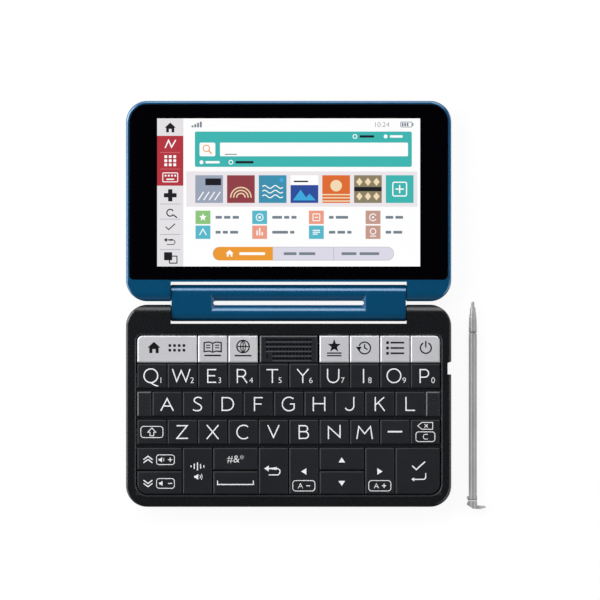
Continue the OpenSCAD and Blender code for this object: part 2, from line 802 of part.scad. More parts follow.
// Two barrels joined by a block at each end, with an open slot between them
module hinge_link() {
    color("#08486c") difference() {
        union() {
            for (y = [base_axis_y, lid_axis_y]) rod(-link_w / 2, link_w / 2, y, axis_z, barrel_r);
            for (side = [-1, 1]) mirror([side < 0 ? 1 : 0, 0, 0]) link_end();
        }
        slot_r = (lid_axis_y - base_axis_y) / 2 - barrel_r;
        for (side = [-1, 1])
            translate([side * (slot_len / 2 - slot_r), (base_axis_y + lid_axis_y) / 2, -OVER])
                cylinder(h = half_t + 2 * OVER, r = slot_r);
        for (side = [-1, 1], y = [base_axis_y, lid_axis_y])
            mirror([side < 0 ? 1 : 0, 0, 0])
                rod(link_w / 2 - shaft_seat - bore_over, link_w / 2 + OVER, y, axis_z, shaft_r + seat_clear);
    }
}

// Flat block between the barrels at one end of the link
module link_end() {
    slot_r = (lid_axis_y - base_axis_y) / 2 - barrel_r;
    x0 = slot_len / 2 - slot_r;
    along_y(base_axis_y, lid_axis_y) polygon([
        [x0 + slot_bevel, axis_z - barrel_r],
        [link_w / 2, axis_z - barrel_r],
        [link_w / 2, axis_z + barrel_r],
        [x0 + slot_bevel, axis_z + barrel_r],
        [x0, axis_z + barrel_r - slot_bevel],
        [x0, axis_z - barrel_r + slot_bevel]
    ]);
}

// Four shafts fixed in the link that turn in the ears of the base and the lid
module hinge_shafts() {
    color("#b9bcc0") for (side = [-1, 1], y = [base_axis_y, lid_axis_y])
        mirror([side < 0 ? 1 : 0, 0, 0])
            rod(link_w / 2 - shaft_seat, ear_x + shaft_reach, y, axis_z, shaft_r);
}

// Front shell of the lid: rim, recess for the touch panel and the two hinge ears
module lid_frame() {
    color("#0a4a74") difference() {
        intersection() {
            lid_blank();
            block(-side_x, side_x, lid_front, lid_back, parting_z, half_t);
        }
        lid_hollow(parting_z - OVER, ledge_under);
        slab_two_radii(-panel_x - panel_clear, panel_x + panel_clear, panel_y0 - panel_clear,
                       panel_y1 + panel_clear, panel_front_r, panel_back_r + panel_clear,
                       [[0, panel_under], [0, half_t + OVER]]);
        block(-panel_x + ledge_w, panel_x - ledge_w, panel_y0 + ledge_w, panel_y1 - ledge_w,
              ledge_under - OVER, panel_under + OVER);
        lid_link_notch();
        ear_bores(lid_axis_y);
    }
}

// Back shell of the lid
module lid_cover() {
    color("#083f63") difference() {
        intersection() {
            lid_blank();
            block(-side_x, side_x, lid_front, lid_back, 0, parting_z);
        }
        lid_hollow(floor_t, parting_z + OVER);
        lid_link_notch();
    }
}

// Display module behind the lit screen
module lcd_module() {
    color("#9a9da1") {
        block(-screen_w / 2 - lcd_border, screen_w / 2 + lcd_border, screen_y0 - lcd_border,
              screen_y0 + screen_h + lcd_border, panel_under - lcd_t, panel_under);
    }
}

module touch_panel() {
    color("#050509") {
        slab_two_radii(-panel_x, panel_x, panel_y0, panel_y1, panel_front_r, panel_back_r,
                       [[0, panel_under], [0, panel_top]]);
    }
}

// Stylus on its side: shaft, nib and a foot block with two lugs and a tail
module stylus() {
    y0 = stylus_y1 - stylus_len;
    barrel_y1 = stylus_y1 - nib_len;
    taper_y0 = barrel_y1 - taper_len;
    bulge = (stylus_r - taper_r) * 0.35;
    color("#8f9190") {
        translate([stylus_x, 0, stylus_r]) rotate([-90, 0, 0]) rotate_extrude() polygon([
            [0, y0 + tail_t],
            [stylus_r, y0 + tail_t],
            [stylus_r, taper_y0 - 2 * groove_w],
            [stylus_r - groove_t, taper_y0 - 2 * groove_w],
            [stylus_r - groove_t, taper_y0 - groove_w],
            [stylus_r, taper_y0 - groove_w],
            [stylus_r, taper_y0],
            [(stylus_r + taper_r) / 2 + bulge, (taper_y0 + barrel_y1) / 2],
            [taper_r, barrel_y1],
            [0, barrel_y1]
        ]);
        translate([stylus_x, 0, stylus_r]) rotate([-90, 0, 0]) rotate_extrude() union() {
            translate([0, barrel_y1 - OVER]) square([nib_r, nib_len + OVER - nib_r]);
            intersection() {
                translate([0, stylus_y1 - nib_r]) circle(r = nib_r);
                translate([0, barrel_y1]) square([nib_r, nib_len]);
            }
        }
        lug_x = -stylus_r - lug;
        waist_x = -stylus_r - lug * 0.4;
        translate([stylus_x, y0, 0]) linear_extrude(2 * stylus_r) polygon([
            [0, 0.15],
            [stylus_r + tail_len * 0.35, 0],
            [stylus_r + tail_len - 0.3, tail_t * 0.35],
            [stylus_r + tail_len, tail_t * 0.55],
            [stylus_r + tail_len - 0.3, tail_t * 0.85],
            [stylus_r, tail_t],
            [stylus_r, foot_block],
            [lug_x, foot_block],
            [lug_x, foot_block - 0.8],
            [waist_x, foot_block - 1.7],
            [waist_x, foot_block - 2.6],
            [lug_x, foot_block - 3.4],
            [lug_x, foot_block - 3.9]
        ]);
    }
}

function key_x0(k) = column_x0 + k[1] * key_pitch + key_gap / 2;
function key_x1(k) = column_x0 + (k[1] + k[2]) * key_pitch - key_gap / 2;
function key_centre(k) = [(key_x0(k) + key_x1(k)) / 2, (ROWS[k[3]][0] + ROWS[k[3]][1]) / 2];

// One key: bevelled cap, stem, and tabs under the ribs or the deck at its free edges
module key(k) {
    x0 = key_x0(k);
    x1 = key_x1(k);
    y0 = ROWS[k[3]][0];
    y1 = ROWS[k[3]][1];
    xc = (x0 + x1) / 2;
    yc = (y0 + y1) / 2;
    color(k[3] == SILVER_ROW ? "#c4c4c8" : "#2d2e32") {
        if (k[4] == [0, 0]) bevelled_block(x0, x1, y0, y1, cap_under, key_top);
        else corner_cap(x0, x1, y0, y1, k[4]);
        translate([xc, yc, stem_end]) cylinder(h = cap_under - stem_end + cap_t / 2, r = stem_r);
        if (len(search(k[3], TAB_BEHIND)) > 0) key_tab(xc, y1, 1);
        if (len(search(k[3], TAB_BEFORE)) > 0) key_tab(xc, y0, -1);
    }
}

// Cap with one rounded corner
module corner_cap(x0, x1, y0, y1, corner) {
    r = corner[1] > 0 ? back_key_r : front_key_r;
    past = 3 * r;
    intersection() {
        bevelled_block(x0, x1, y0, y1, cap_under, key_top);
        slab(x0 - (corner[0] > 0 ? past : 0), x1 + (corner[0] < 0 ? past : 0),
             y0 - (corner[1] > 0 ? past : 0), y1 + (corner[1] < 0 ? past : 0), r,
             [[0, cap_under], [0, key_top - key_bevel_h], [key_bevel_w, key_top]]);
    }
}

// Skirt and tab at one edge of a key
module key_tab(xc, y, way) {
    inside = y - way * skirt_t;
    outside = y + way * tab_reach;
    x0 = xc - tab_w / 2;
    x1 = xc + tab_w / 2;
    block(x0, x1, min(inside, y), max(inside, y), tab_top - tab_t, cap_under);
    block(x0, x1, min(inside, outside), max(inside, outside), tab_top - tab_t, tab_top);
}

lower_case();
upper_case();
battery();
main_board();
key_sheet();
case_screws();
hinge_link();
hinge_shafts();
lid_frame();
lid_cover();
lcd_module();
touch_panel();
stylus();
for (k = KEYS) key(k);
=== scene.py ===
"""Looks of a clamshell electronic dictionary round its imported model, laid out as a Blender add-on.

Everything is in metres in the model's own frame: the base lies on the table with its underside at
z = 0, +Y runs from the base towards the lid, and the lid lies open flat.
"""
import json
import math

import bmesh
import bpy
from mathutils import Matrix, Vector


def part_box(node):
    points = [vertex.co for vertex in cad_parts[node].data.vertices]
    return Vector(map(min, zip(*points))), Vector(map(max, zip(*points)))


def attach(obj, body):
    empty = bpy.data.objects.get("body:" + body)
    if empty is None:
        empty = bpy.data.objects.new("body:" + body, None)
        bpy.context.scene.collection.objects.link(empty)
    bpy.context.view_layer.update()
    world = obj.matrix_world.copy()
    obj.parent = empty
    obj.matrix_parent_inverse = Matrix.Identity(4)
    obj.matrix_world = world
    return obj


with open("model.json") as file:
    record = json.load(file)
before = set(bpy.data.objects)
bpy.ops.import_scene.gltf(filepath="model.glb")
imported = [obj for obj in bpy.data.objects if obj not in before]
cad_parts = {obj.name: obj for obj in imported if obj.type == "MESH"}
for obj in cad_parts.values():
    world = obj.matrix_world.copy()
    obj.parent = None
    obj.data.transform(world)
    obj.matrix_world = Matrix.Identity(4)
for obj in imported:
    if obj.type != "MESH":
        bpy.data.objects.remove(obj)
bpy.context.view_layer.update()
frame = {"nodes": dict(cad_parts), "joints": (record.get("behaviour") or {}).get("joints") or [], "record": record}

bl_info = {
    "name": "Electronic dictionary",
    "version": (1, 0, 0),
    "blender": (4, 5, 0),
    "location": "View3D > Sidebar > Dictionary",
    "description": "Finishes, printed marks and small parts of a clamshell electronic dictionary",
    "category": "Object",
}

MM = 0.001
KEYS = sorted(name for name in frame["nodes"] if name.startswith("key_") and name != "key_sheet")
SILVER_KEYS = ("key_home", "key_dictionary_a", "key_dictionary_b", "key_favourites", "key_history",
               "key_contents", "key_power")
# The mix node's sockets for colours
MIX_A = 6
MIX_B = 7
WHITE = (1.0, 1.0, 1.0, 1.0)
# Faces that meet at more than this angle, in degrees, are shaded with a crease
CREASE = 24

# Places in the model, in millimetres
SPEAKER_Y = 26.645
GRILLE_Z = 9.0
PORT_Y = 11.34
TONGUE_Z = 4.225
CARD_SLOT_Y = -16.16
STYLUS_X = 86.65
STYLUS_Z = 1.925
FEET_X = (-62.35, 62.35)
FEET_Y = (-33.45, 29.5)
# Size of the display's lit area
PICTURE_W = 123.4
PICTURE_H = 69.45


# Colours and nodes

def linear(code):
    """An sRGB hex colour as linear red, green and blue."""
    parts = [int(code[i:i + 2], 16) / 255 for i in (1, 3, 5)]
    return tuple(c / 12.92 if c <= 0.04045 else ((c + 0.055) / 1.055) ** 2.4 for c in parts)


def shade(colour, factor):
    """A linear colour made lighter or darker, with alpha."""
    return tuple(min(1.0, c * factor) for c in colour[:3]) + (1.0,)


def add(tree, kind, inputs=None, stops=(), **settings):
    """Adds a node with its settings, its links or values by input, and the stops of a colour ramp.

    An input that is given a whole node is linked to the first output that this node has in use.
    """
    node = tree.nodes.new(kind)
    for name, value in settings.items():
        setattr(node, name, value)
    for name, value in (inputs or {}).items():
        if isinstance(value, bpy.types.Node):
            value = next(socket for socket in value.outputs if socket.enabled)
        if isinstance(value, bpy.types.NodeSocket):
            tree.links.new(value, node.inputs[name])
        else:
            node.inputs[name].default_value = value
    for i, (position, colour) in enumerate(stops):
        stop = node.color_ramp.elements[i] if i < 2 else node.color_ramp.elements.new(position)
        stop.position = position
        stop.color = colour
    return node


def per_metre(size_mm):
    """Scale of a pattern whose features are this many millimetres across."""
    return 1000.0 / size_mm


def blank_material(name):
    """A material without nodes, and its node tree."""
    material = bpy.data.materials.new(name)
    material.use_nodes = True
    material.node_tree.nodes.clear()
    return material, material.node_tree


def painted_sheen_lines(tree, place, paint, x, z, number, strength):
    """Painted highlights and painted shade: a number of light and dark lines along a tube on an axis in Y, at x
    and z in millimetres.
    """
    parts = add(tree, "ShaderNodeSeparateXYZ", {"Vector": place})
    across = add(tree, "ShaderNodeMath", {0: parts.outputs["X"], 1: x * MM}, operation="SUBTRACT")
    up = add(tree, "ShaderNodeMath", {0: parts.outputs["Z"], 1: z * MM}, operation="SUBTRACT")
    turn = add(tree, "ShaderNodeMath", {0: across, 1: up}, operation="ARCTAN2")
    turn = add(tree, "ShaderNodeMath", {0: turn, 1: number}, operation="MULTIPLY")
    wave = add(tree, "ShaderNodeMath", {0: turn}, operation="COSINE")
    level = add(tree, "ShaderNodeMapRange", {"Value": wave, "From Min": -1.0, "To Min": 1 + strength,
                                             "To Max": 1 - strength})
    return add(tree, "ShaderNodeMix", {MIX_A: paint, MIX_B: level, "Factor": 1.0},
               data_type="RGBA", blend_type="MULTIPLY")


def zoned(tree, place, paint, middle, half, colour):
    """Another colour in a block of space, given by its middle and half size in millimetres."""
    reach = add(tree, "ShaderNodeVectorMath", {0: place, 1: [c * MM for c in middle]}, operation="SUBTRACT")
    reach = add(tree, "ShaderNodeVectorMath", {0: reach}, operation="ABSOLUTE")
    reach = add(tree, "ShaderNodeVectorMath", {0: [c * MM for c in half], 1: reach}, operation="SUBTRACT")
    sides = add(tree, "ShaderNodeSeparateXYZ", {"Vector": reach})
    least = add(tree, "ShaderNodeMath", {0: sides.outputs["X"], 1: sides.outputs["Y"]}, operation="MINIMUM")
    least = add(tree, "ShaderNodeMath", {0: least, 1: sides.outputs["Z"]}, operation="MINIMUM")
    inside = add(tree, "ShaderNodeMath", {0: least, 1: 0.0}, operation="GREATER_THAN")
    return add(tree, "ShaderNodeMix", {"Factor": inside, MIX_A: paint, MIX_B: shade(colour, 1.0)},
               data_type="RGBA")


def moulded(name, colour, roughness, grain_mm, relief_mm, mottle, zones=(), sheen_lines=None, **shader):
    """A moulded or sprayed surface: its colour clouds a little, and a fine grain breaks the gloss.

    The real texture of such a part is 0.05 to 0.2 mm, and is drawn coarser so that it shows. A zone is
    (middle, half size, colour), and the lines of painted highlight and painted shade along a tube are (x, z,
    number, strength).
    """
    material, tree = blank_material(name)
    place = add(tree, "ShaderNodeTexCoord").outputs["Object"]
    cloud_mm = 17
    cloud = add(tree, "ShaderNodeTexNoise", {"Vector": place, "Scale": per_metre(cloud_mm), "Detail": 4.0})
    grain = add(tree, "ShaderNodeTexNoise", {"Vector": place, "Scale": per_metre(grain_mm), "Detail": 3.0})
    tone = add(tree, "ShaderNodeValToRGB", {"Fac": cloud},
               [(0.3, shade(colour, 1 - mottle)), (0.7, shade(colour, 1 + mottle))])
    fleck = add(tree, "ShaderNodeValToRGB", {"Fac": grain},
                [(0.35, shade(WHITE, 1 - 1.5 * mottle)), (0.65, WHITE)])
    paint = add(tree, "ShaderNodeMix", {MIX_A: tone, MIX_B: fleck, "Factor": 1.0},
                data_type="RGBA", blend_type="MULTIPLY")
    if sheen_lines:
        paint = painted_sheen_lines(tree, place, paint, *sheen_lines)
    for zone in zones:
        paint = zoned(tree, place, paint, *zone)
    gloss = add(tree, "ShaderNodeMapRange", {"Value": grain, "From Min": 0.3, "From Max": 0.7,
                                             "To Min": roughness * 0.88, "To Max": roughness * 1.12})
    bump = add(tree, "ShaderNodeBump", {"Height": grain, "Distance": relief_mm * MM, "Strength": 0.5})
    surface = add(tree, "ShaderNodeBsdfPrincipled",
                  {"Base Color": paint, "Roughness": gloss, "Normal": bump, **shader})
    add(tree, "ShaderNodeOutputMaterial", {"Surface": surface})
    return material


def lit_pixels(name, colour, brightness):
    """One colour of the lit display, seen through gloss glass: light with a faint grid of pixels.

    The pixels are 0.12 mm, and are drawn 0.6 mm across so that a hint of them shows.
    """
    material, tree = blank_material(name)
    place = add(tree, "ShaderNodeTexCoord").outputs["Object"]
    pixel_mm = 0.6
    cells = add(tree, "ShaderNodeTexBrick",
                {"Vector": place, "Scale": per_metre(pixel_mm), "Color1": shade(colour, 1.0),
                 "Color2": shade(colour, 0.985), "Mortar": shade(colour, 0.95), "Mortar Size": 0.06,
                 "Brick Width": 1.0, "Row Height": 1.0}, offset=0.0)
    surface = add(tree, "ShaderNodeBsdfPrincipled",
                  {"Base Color": shade(linear("#19191d"), 1.0), "Roughness": 0.08, "IOR": 1.5,
                   "Emission Color": cells, "Emission Strength": brightness})
    add(tree, "ShaderNodeOutputMaterial", {"Surface": surface})
    return material


def white_ink(settings):
    """Screen-printed ink: opaque warm white, matt, a little uneven."""
    known = bpy.data.materials.get("ink_white_matt")
    return known or moulded("ink_white_matt", tuple(settings.ink), 0.5, 0.5, 0.002, 0.02)


# Flat shapes for printed marks, in millimetres: an outline is a list of points, a ring two outlines

def box(x, y, w, h, r=0.0):
    """Outline of a box about its middle, with rounded corners."""
    if r == 0.0:
        return [(x - w / 2, y - h / 2), (x + w / 2, y - h / 2),
                (x + w / 2, y + h / 2), (x - w / 2, y + h / 2)]
    points = []
    for cx, cy, start in ((x + w / 2 - r, y - h / 2 + r, -90), (x + w / 2 - r, y + h / 2 - r, 0),
                          (x - w / 2 + r, y + h / 2 - r, 90), (x - w / 2 + r, y - h / 2 + r, 180)):
        points += bend(cx, cy, r, start, start + 90, 6)
    return points


def bend(x, y, r, start, end, steps):
    """Points along an arc, with its angles in degrees."""
    angles = [math.radians(start + (end - start) * i / steps) for i in range(steps + 1)]
    return [(x + r * math.cos(a), y + r * math.sin(a)) for a in angles]


def disc(x, y, r):
    """Outline of a full circle."""
    return bend(x, y, r, 0, 350, 35)


def ring(x, y, r, width):
    """A circle drawn with a line of this width."""
    return disc(x, y, r), disc(x, y, r - width)


def rim(x, y, w, h, r, width):
    """A rounded box drawn with a line of this width."""
    return box(x, y, w, h, r), box(x, y, w - 2 * width, h - 2 * width, r - width)


def star(r):
    """Outline of a star with five points."""
    radii = (r, r * 0.42) * 5
    return [(radius * math.sin(math.pi * i / 5), radius * math.cos(math.pi * i / 5))
            for i, radius in enumerate(radii)]


def line(points, width):
    """Outline of an open line of this width through the points, with mitred corners."""
    left, right = [], []
    for i, point in enumerate(points):
        here = Vector(point)
        ahead = (Vector(points[i + 1]) - here).normalized() if i + 1 < len(points) else None
        behind = (here - Vector(points[i - 1])).normalized() if i else None
        course = ((ahead or behind) + (behind or ahead)).normalized()
        side = Vector((-course.y, course.x)) * (width / 2 / max(0.4, course.dot(ahead or behind)))
        left.append(tuple(here + side))
        right.append(tuple(here - side))
    return left + right[::-1]


def loop(points, width):
    """A closed line of this width through the points."""
    outline = line(list(points) + [points[0], points[1]], width)
    half = len(outline) // 2
    return outline[1:half], outline[half:-1][::-1]


def reshaped(parts, change):
    """The parts with every point put through a function of its x and y."""
    def at(outline):
        return [change(*point) for point in outline]
    return [(at(part[0]), at(part[1])) if isinstance(part, tuple) else at(part) for part in parts]


def moved(parts, x, y, scale=1.0):
    """The parts at another place and size."""
    return reshaped(parts, lambda px, py: (x + px * scale, y + py * scale))


def flipped(parts, x=1, y=1):
    """The parts mirrored in X or Y."""
    return reshaped(parts, lambda px, py: (x * px, y * py))


def strokes(letter, height):
    """A capital letter of even strokes about its middle."""
    parts = [line(points, STROKE) for points in STROKES.get(letter, ())]
    if letter in "OQ":
        parts.append(ring(0, 0.1, ROUND_LETTER + STROKE / 2, STROKE))
    return moved(parts, 0, 0, height / CAPITAL)


def glyphs(text, cap_height):
    """Flat faces of plain built-in letters about their middle, as lists of points."""
    curve = bpy.data.curves.new("glyphs", "FONT")
    curve.body = text
    # The built-in letters are 0.682 of their size high, and are made a little thinner
    curve.size = cap_height / 0.682
    curve.offset = -0.011 * curve.size
    curve.resolution_u = 6
    carrier = bpy.data.objects.new("glyphs", curve)
    mesh = bpy.data.meshes.new_from_object(carrier)
    xs = [v.co.x for v in mesh.vertices]
    middle = (min(xs) + max(xs)) / 2
    faces = [[(mesh.vertices[i].co.x - middle, mesh.vertices[i].co.y - cap_height / 2) for i in face.vertices]
             for face in mesh.polygons]
    bpy.data.objects.remove(carrier)
    bpy.data.curves.remove(curve)
    bpy.data.meshes.remove(mesh)
    return faces


# Solid pieces and finishes

def linked(name, data):
    """A new object in the scene."""
    piece = bpy.data.objects.new(name, data)
    bpy.context.scene.collection.objects.link(piece)
    return piece


def raised(parts, height, level):
    """Mesh of flat shapes, given in millimetres, raised to a height in metres."""
    layer = bmesh.new()
    for count, part in enumerate(parts):
        # Marks that cross stand half a micron apart, so that no two faces share a plane
        rise = count % 8 * 5e-7
        if isinstance(part, tuple):
            outer, inner = [[layer.verts.new((px * MM, py * MM, rise)) for px, py in outline]
                            for outline in part]
            for i in range(len(outer)):
                j = (i + 1) % len(outer)
                layer.faces.new((outer[i], outer[j], inner[j], inner[i]))
        else:
            layer.faces.new([layer.verts.new((px * MM, py * MM, rise)) for px, py in part])
    bmesh.ops.remove_doubles(layer, verts=layer.verts, dist=1e-7)
    bmesh.ops.recalc_face_normals(layer, faces=layer.faces)
    for face in layer.faces:
        if face.normal.z < 0:
            face.normal_flip()
    top = bmesh.ops.extrude_face_region(layer, geom=list(layer.faces), use_keep_orig=True)
    bmesh.ops.translate(layer, vec=(0, 0, height),
                        verts=[v for v in top["geom"] if isinstance(v, bmesh.types.BMVert)])
    bmesh.ops.recalc_face_normals(layer, faces=layer.faces)
    for face in layer.faces:
        face.material_index = level
    mesh = bpy.data.meshes.new("layer")
    layer.to_mesh(mesh)
    layer.free()
    return mesh


def printed(name, layers, x, y, z, body, slot, ink_mm=0.02, sunk_mm=0.01):
    """Thin solid marks on a surface at height z: each layer is (material, parts), the next one higher.

    The shapes are in millimetres from x, y, and the marks move with a body of the model.
    """
    mesh = bpy.data.meshes.new(name)
    made = bmesh.new()
    for level, (material, parts) in enumerate(layers):
        layer = raised(parts, (sunk_mm + ink_mm * (level + 1)) * MM, level)
        made.from_mesh(layer)
        bpy.data.meshes.remove(layer)
        mesh.materials.append(material)
    made.to_mesh(mesh)
    made.free()
    piece = linked(name, mesh)
    piece.location = (x, y, z - sunk_mm * MM)
    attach(piece, body)
    return piece


def lathe(name, profile, material, place, axis, body):
    """A turned piece from (radius, height) points in millimetres, along an axis from its place."""
    mesh = bpy.data.meshes.new(name)
    made = bmesh.new()
    for radius, height in profile:
        made.verts.new((radius * MM, 0, height * MM))
    made.verts.ensure_lookup_table()
    edges = [made.edges.new((made.verts[i], made.verts[i + 1])) for i in range(len(profile) - 1)]
    bmesh.ops.spin(made, geom=list(made.verts) + edges, axis=(0, 0, 1), cent=(0, 0, 0),
                   angle=2 * math.pi, steps=48)
    bmesh.ops.remove_doubles(made, verts=made.verts, dist=1e-7)
    bmesh.ops.recalc_face_normals(made, faces=made.faces)
    made.to_mesh(mesh)
    made.free()
    mesh.materials.append(material)
    mesh.shade_smooth()
    mesh.set_sharp_from_angle(angle=math.radians(35))
    piece = linked(name, mesh)
    piece.rotation_mode = "QUATERNION"
    piece.rotation_quaternion = Vector(axis).to_track_quat("Z", "Y")
    piece.location = place
    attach(piece, body)
    return piece


def finish(node, material, bevel_mm=0.0, from_angle=CREASE):
    """Gives a node of the model its material, smooth round faces and, on request, bevelled edges."""
    piece = frame["nodes"][node]
    piece.data.materials.clear()
    piece.data.materials.append(material)
    piece.data.shade_smooth()
    piece.modifiers.new("weld", "WELD").merge_threshold = 1e-6
    if bevel_mm:
        planes = piece.modifiers.new("planes", "DECIMATE")
        planes.decimate_type = "DISSOLVE"
        planes.angle_limit = math.radians(0.5)
        bevel = piece.modifiers.new("edges", "BEVEL")
        bevel.width = bevel_mm * MM
        bevel.segments = 2
        bevel.limit_method = "ANGLE"
        bevel.angle_limit = math.radians(from_angle)
    piece.modifiers.new("creases", "EDGE_SPLIT").split_angle = math.radians(CREASE)
    piece.modifiers.new("flats", "WEIGHTED_NORMAL").keep_sharp = True


def key_face(name):
    """Middle of a key's flat top, and its height."""
    points = [v.co for v in frame["nodes"][name].data.vertices]
    top = max(p.z for p in points)
    xs = [p.x for p in points if p.z > top - 1e-5]
    ys = [p.y for p in points if p.z > top - 1e-5]
    return (min(xs) + max(xs)) / 2, (min(ys) + max(ys)) / 2, top


# What a user would change

def colour_setting(name, description, code):
    """A colour to choose, with an sRGB hex value as its default."""
    return bpy.props.FloatVectorProperty(name=name, description=description, subtype="COLOR",
                                         default=linear(code), min=0, max=1)


def length_setting(name, description, default_mm, least_mm, most_mm):
    """A length to choose, given here in millimetres."""
    return bpy.props.FloatProperty(name=name, description=description, unit="LENGTH",
                                   default=default_mm * MM, min=least_mm * MM, max=most_mm * MM)


def strength_setting(name, description, most):
    """A strength to choose, where 1 is the plain one."""
    return bpy.props.FloatProperty(name=name, description=description, default=1.0, min=0, max=most)


class DICTIONARY_PG_case(bpy.types.PropertyGroup):
    base: colour_setting("Base", "Black plastic of the keyboard half", "#121417")
    lid: colour_setting("Lid", "Blue paint of the screen half and the link", "#00486e")
    stylus: colour_setting("Stylus", "Grey paint of the stylus", "#a9aaa9")
    foot_dome: length_setting("Foot dome", "Crown of the rubber feet", 0.15, 0, 0.4)


class DICTIONARY_PG_keys(bpy.types.PropertyGroup):
    dark: colour_setting("Dark keys", "Charcoal of the letter keys", "#242529")
    silver: colour_setting("Silver keys", "Paint of the top row", "#d2d2d6")
    ink: colour_setting("White ink", "Marks on the dark keys", "#ececee")
    letter: length_setting("Letter height", "Height of the capital letters", 6.65, 4, 8)
    digit: length_setting("Digit height", "Height of the digits beside them", 2.65, 1, 4)


class DICTIONARY_PG_screen(bpy.types.PropertyGroup):
    brightness: strength_setting("Brightness", "Light of the display's white", 2)
    width: length_setting("Width", "Width of the lit area", PICTURE_W, 100, 130)
    height: length_setting("Height", "Height of the lit area", PICTURE_H, 50, 80)
    sill: length_setting("Sill", "Dark border between the hinge and the lit area", 6.2, 0, 20)


class DICTIONARY_PG_studio(bpy.types.PropertyGroup):
    lamps: strength_setting("Lamps", "Strength of all the softboxes", 3)
    floor: colour_setting("Floor", "Paper under the dictionary", "#e1e1e1")
    frame_width: length_setting("Frame width", "Width that the camera sees", 281.95, 100, 1000)


# Middle lines of the letters' strokes, in millimetres, for capitals of this height and strokes this wide.
# O and Q have a ring, whose middle line has the radius of a round letter.
CAPITAL = 6.6
STROKE = 0.55
ROUND_LETTER = 3.2
STROKES = {
    "A": [[(-2.95, -3.2), (0, 2.5), (2.95, -3.2)], [(-1.8, -0.95), (1.8, -0.95)]],
    "B": [[(-2.15, -3.3), (-2.15, 3.3)], [(-2.1, 2.95)] + bend(0.35, 1.55, 1.4, 90, -90, 12) + [(-2.1, 0.15)],
          [(0.5, 0.15)] + bend(0.6, -1.4, 1.55, 90, -90, 12) + [(-2.1, -2.95)]],
    "C": [bend(0.3, 0, 3.15, 50, 310, 30)],
    "D": [[(-2.65, 3.3), (-2.65, -3.3)],
          [(-2.6, 2.95)] + bend(-0.35, 0, 2.95, 90, -90, 20) + [(-2.6, -2.95)]],
    "E": [[(2.1, 2.95), (-1.78, 2.95), (-1.78, -2.95), (2.1, -2.95)], [(-1.75, 0.1), (1.65, 0.1)]],
    "F": [[(2.1, 2.95), (-1.75, 2.95), (-1.75, -3.3)], [(-1.7, 0.0), (1.6, 0.0)]],
    "G": [bend(0.2, 0, 3.15, 50, 318, 30) + [(2.6, 0.0), (0.6, 0.0)]],
    "H": [[(-2.65, -3.3), (-2.65, 3.3)], [(2.65, -3.3), (2.65, 3.3)], [(-2.6, 0.15), (2.6, 0.15)]],
    "I": [[(0, -3.3), (0, 3.3)]],
    "J": [[(2.05, 3.3)] + bend(-0.05, -0.85, 2.1, 0, -155, 18)],
    "K": [[(-2.1, -3.3), (-2.1, 3.3)], [(2.05, 3.2), (-2.0, -0.4)], [(-0.75, 0.7), (2.25, -3.2)]],
    "L": [[(-1.95, 3.3), (-1.95, -2.95), (2.3, -2.95)]],
    "M": [[(-3.62, -3.25), (-2.7, 2.5), (0, -0.8), (2.7, 2.5), (3.62, -3.25)]],
    "N": [[(-2.7, -3.3), (-2.7, 2.45), (2.7, -2.45), (2.7, 3.3)]],
    "P": [[(-1.95, -3.3), (-1.95, 3.3)],
          [(-1.9, 2.95)] + bend(0.25, 1.2, 1.75, 90, -90, 14) + [(-1.9, -0.55)]],
    "Q": [[(0.1, -3.2), (1.3, -4.0), (2.4, -4.5), (3.5, -4.65)]],
    "R": [[(-2.15, -3.3), (-2.15, 3.3)], [(-2.1, 2.95)] + bend(0.1, 1.35, 1.6, 90, -90, 14) + [(-2.1, -0.25)],
          [(0.1, -0.3), (1.0, -1.2), (2.3, -3.25)]],
    "S": [[(1.95, 2.55), (1.15, 3.02), (0.25, 3.15), (-0.8, 2.92), (-1.5, 2.25), (-1.55, 1.45), (-1.05, 0.8),
           (0.2, 0.12), (1.3, -0.5), (1.9, -1.35), (1.75, -2.35), (0.95, -2.98), (-0.2, -3.15), (-1.3, -3.0),
           (-2.1, -2.55)]],
    "T": [[(-2.72, 2.95), (2.72, 2.95)], [(0, 2.9), (0, -3.3)]],
    "U": [[(-2.62, 3.3)] + bend(0, -0.42, 2.62, 180, 360, 20) + [(2.62, 3.3)]],
    "V": [[(-2.65, 3.25), (0, -2.5), (2.65, 3.25)]],
    "W": [[(-4.1, 3.25), (-2.1, -2.5), (0, 2.5), (2.2, -2.5), (4.1, 3.25)]],
    "X": [[(-2.7, 3.25), (2.75, -3.25)], [(2.7, 3.25), (-2.75, -3.25)]],
    "Y": [[(-2.65, 3.25), (0, 0.1), (2.65, 3.25)], [(0, 0.1), (0, -3.3)]],
    "Z": [[(-2.6, 2.95), (2.3, 2.95), (-2.5, -2.95), (2.7, -2.95)]],
}


# Marks on the keys, in millimetres from the middle of a key's top

SPEAKER = [[(-1.5, -0.55), (-0.75, -0.55), (0.35, -1.4), (0.35, 1.4), (-0.75, 0.55), (-1.5, 0.55)]]
WAVE = [line(bend(0.2, 0, 1.2, -42, 42, 8), 0.3)]
WAVES = WAVE + [line(bend(0.2, 0, 2.0, -42, 42, 8), 0.3)]
VOICE = [box(x, 0, 0.5, h, 0.2) for x, h in ((-3, 1.0), (-1.5, 2.6), (0, 3.8), (1.5, 2.2), (3, 1.2))]
CHEVRONS = [line([(-2.1, y), (0, y + 1.6), (2.1, y)], 0.5) for y in (-1.55, -0.05)]
TRIANGLE = [[(-1.55, -1.2), (1.55, -1.2), (0, 1.2)]]
POINTER = [[(-1.3, 0), (1.2, -1.55), (1.2, 1.55)]]
CAPTION = [rim(0, 0, 10.7, 5.2, 1.5, 0.33)]
PLATE = [rim(0, 0, 8.7, 4.9, 1.4, 0.33)]
MINUS = [box(0, 0, 1.9, 0.4)]
PLUS = [line([(-1.0, 0), (1.0, 0)], 0.4), line([(0, 0.2), (0, 1.0)], 0.4), line([(0, -0.2), (0, -1.0)], 0.4)]

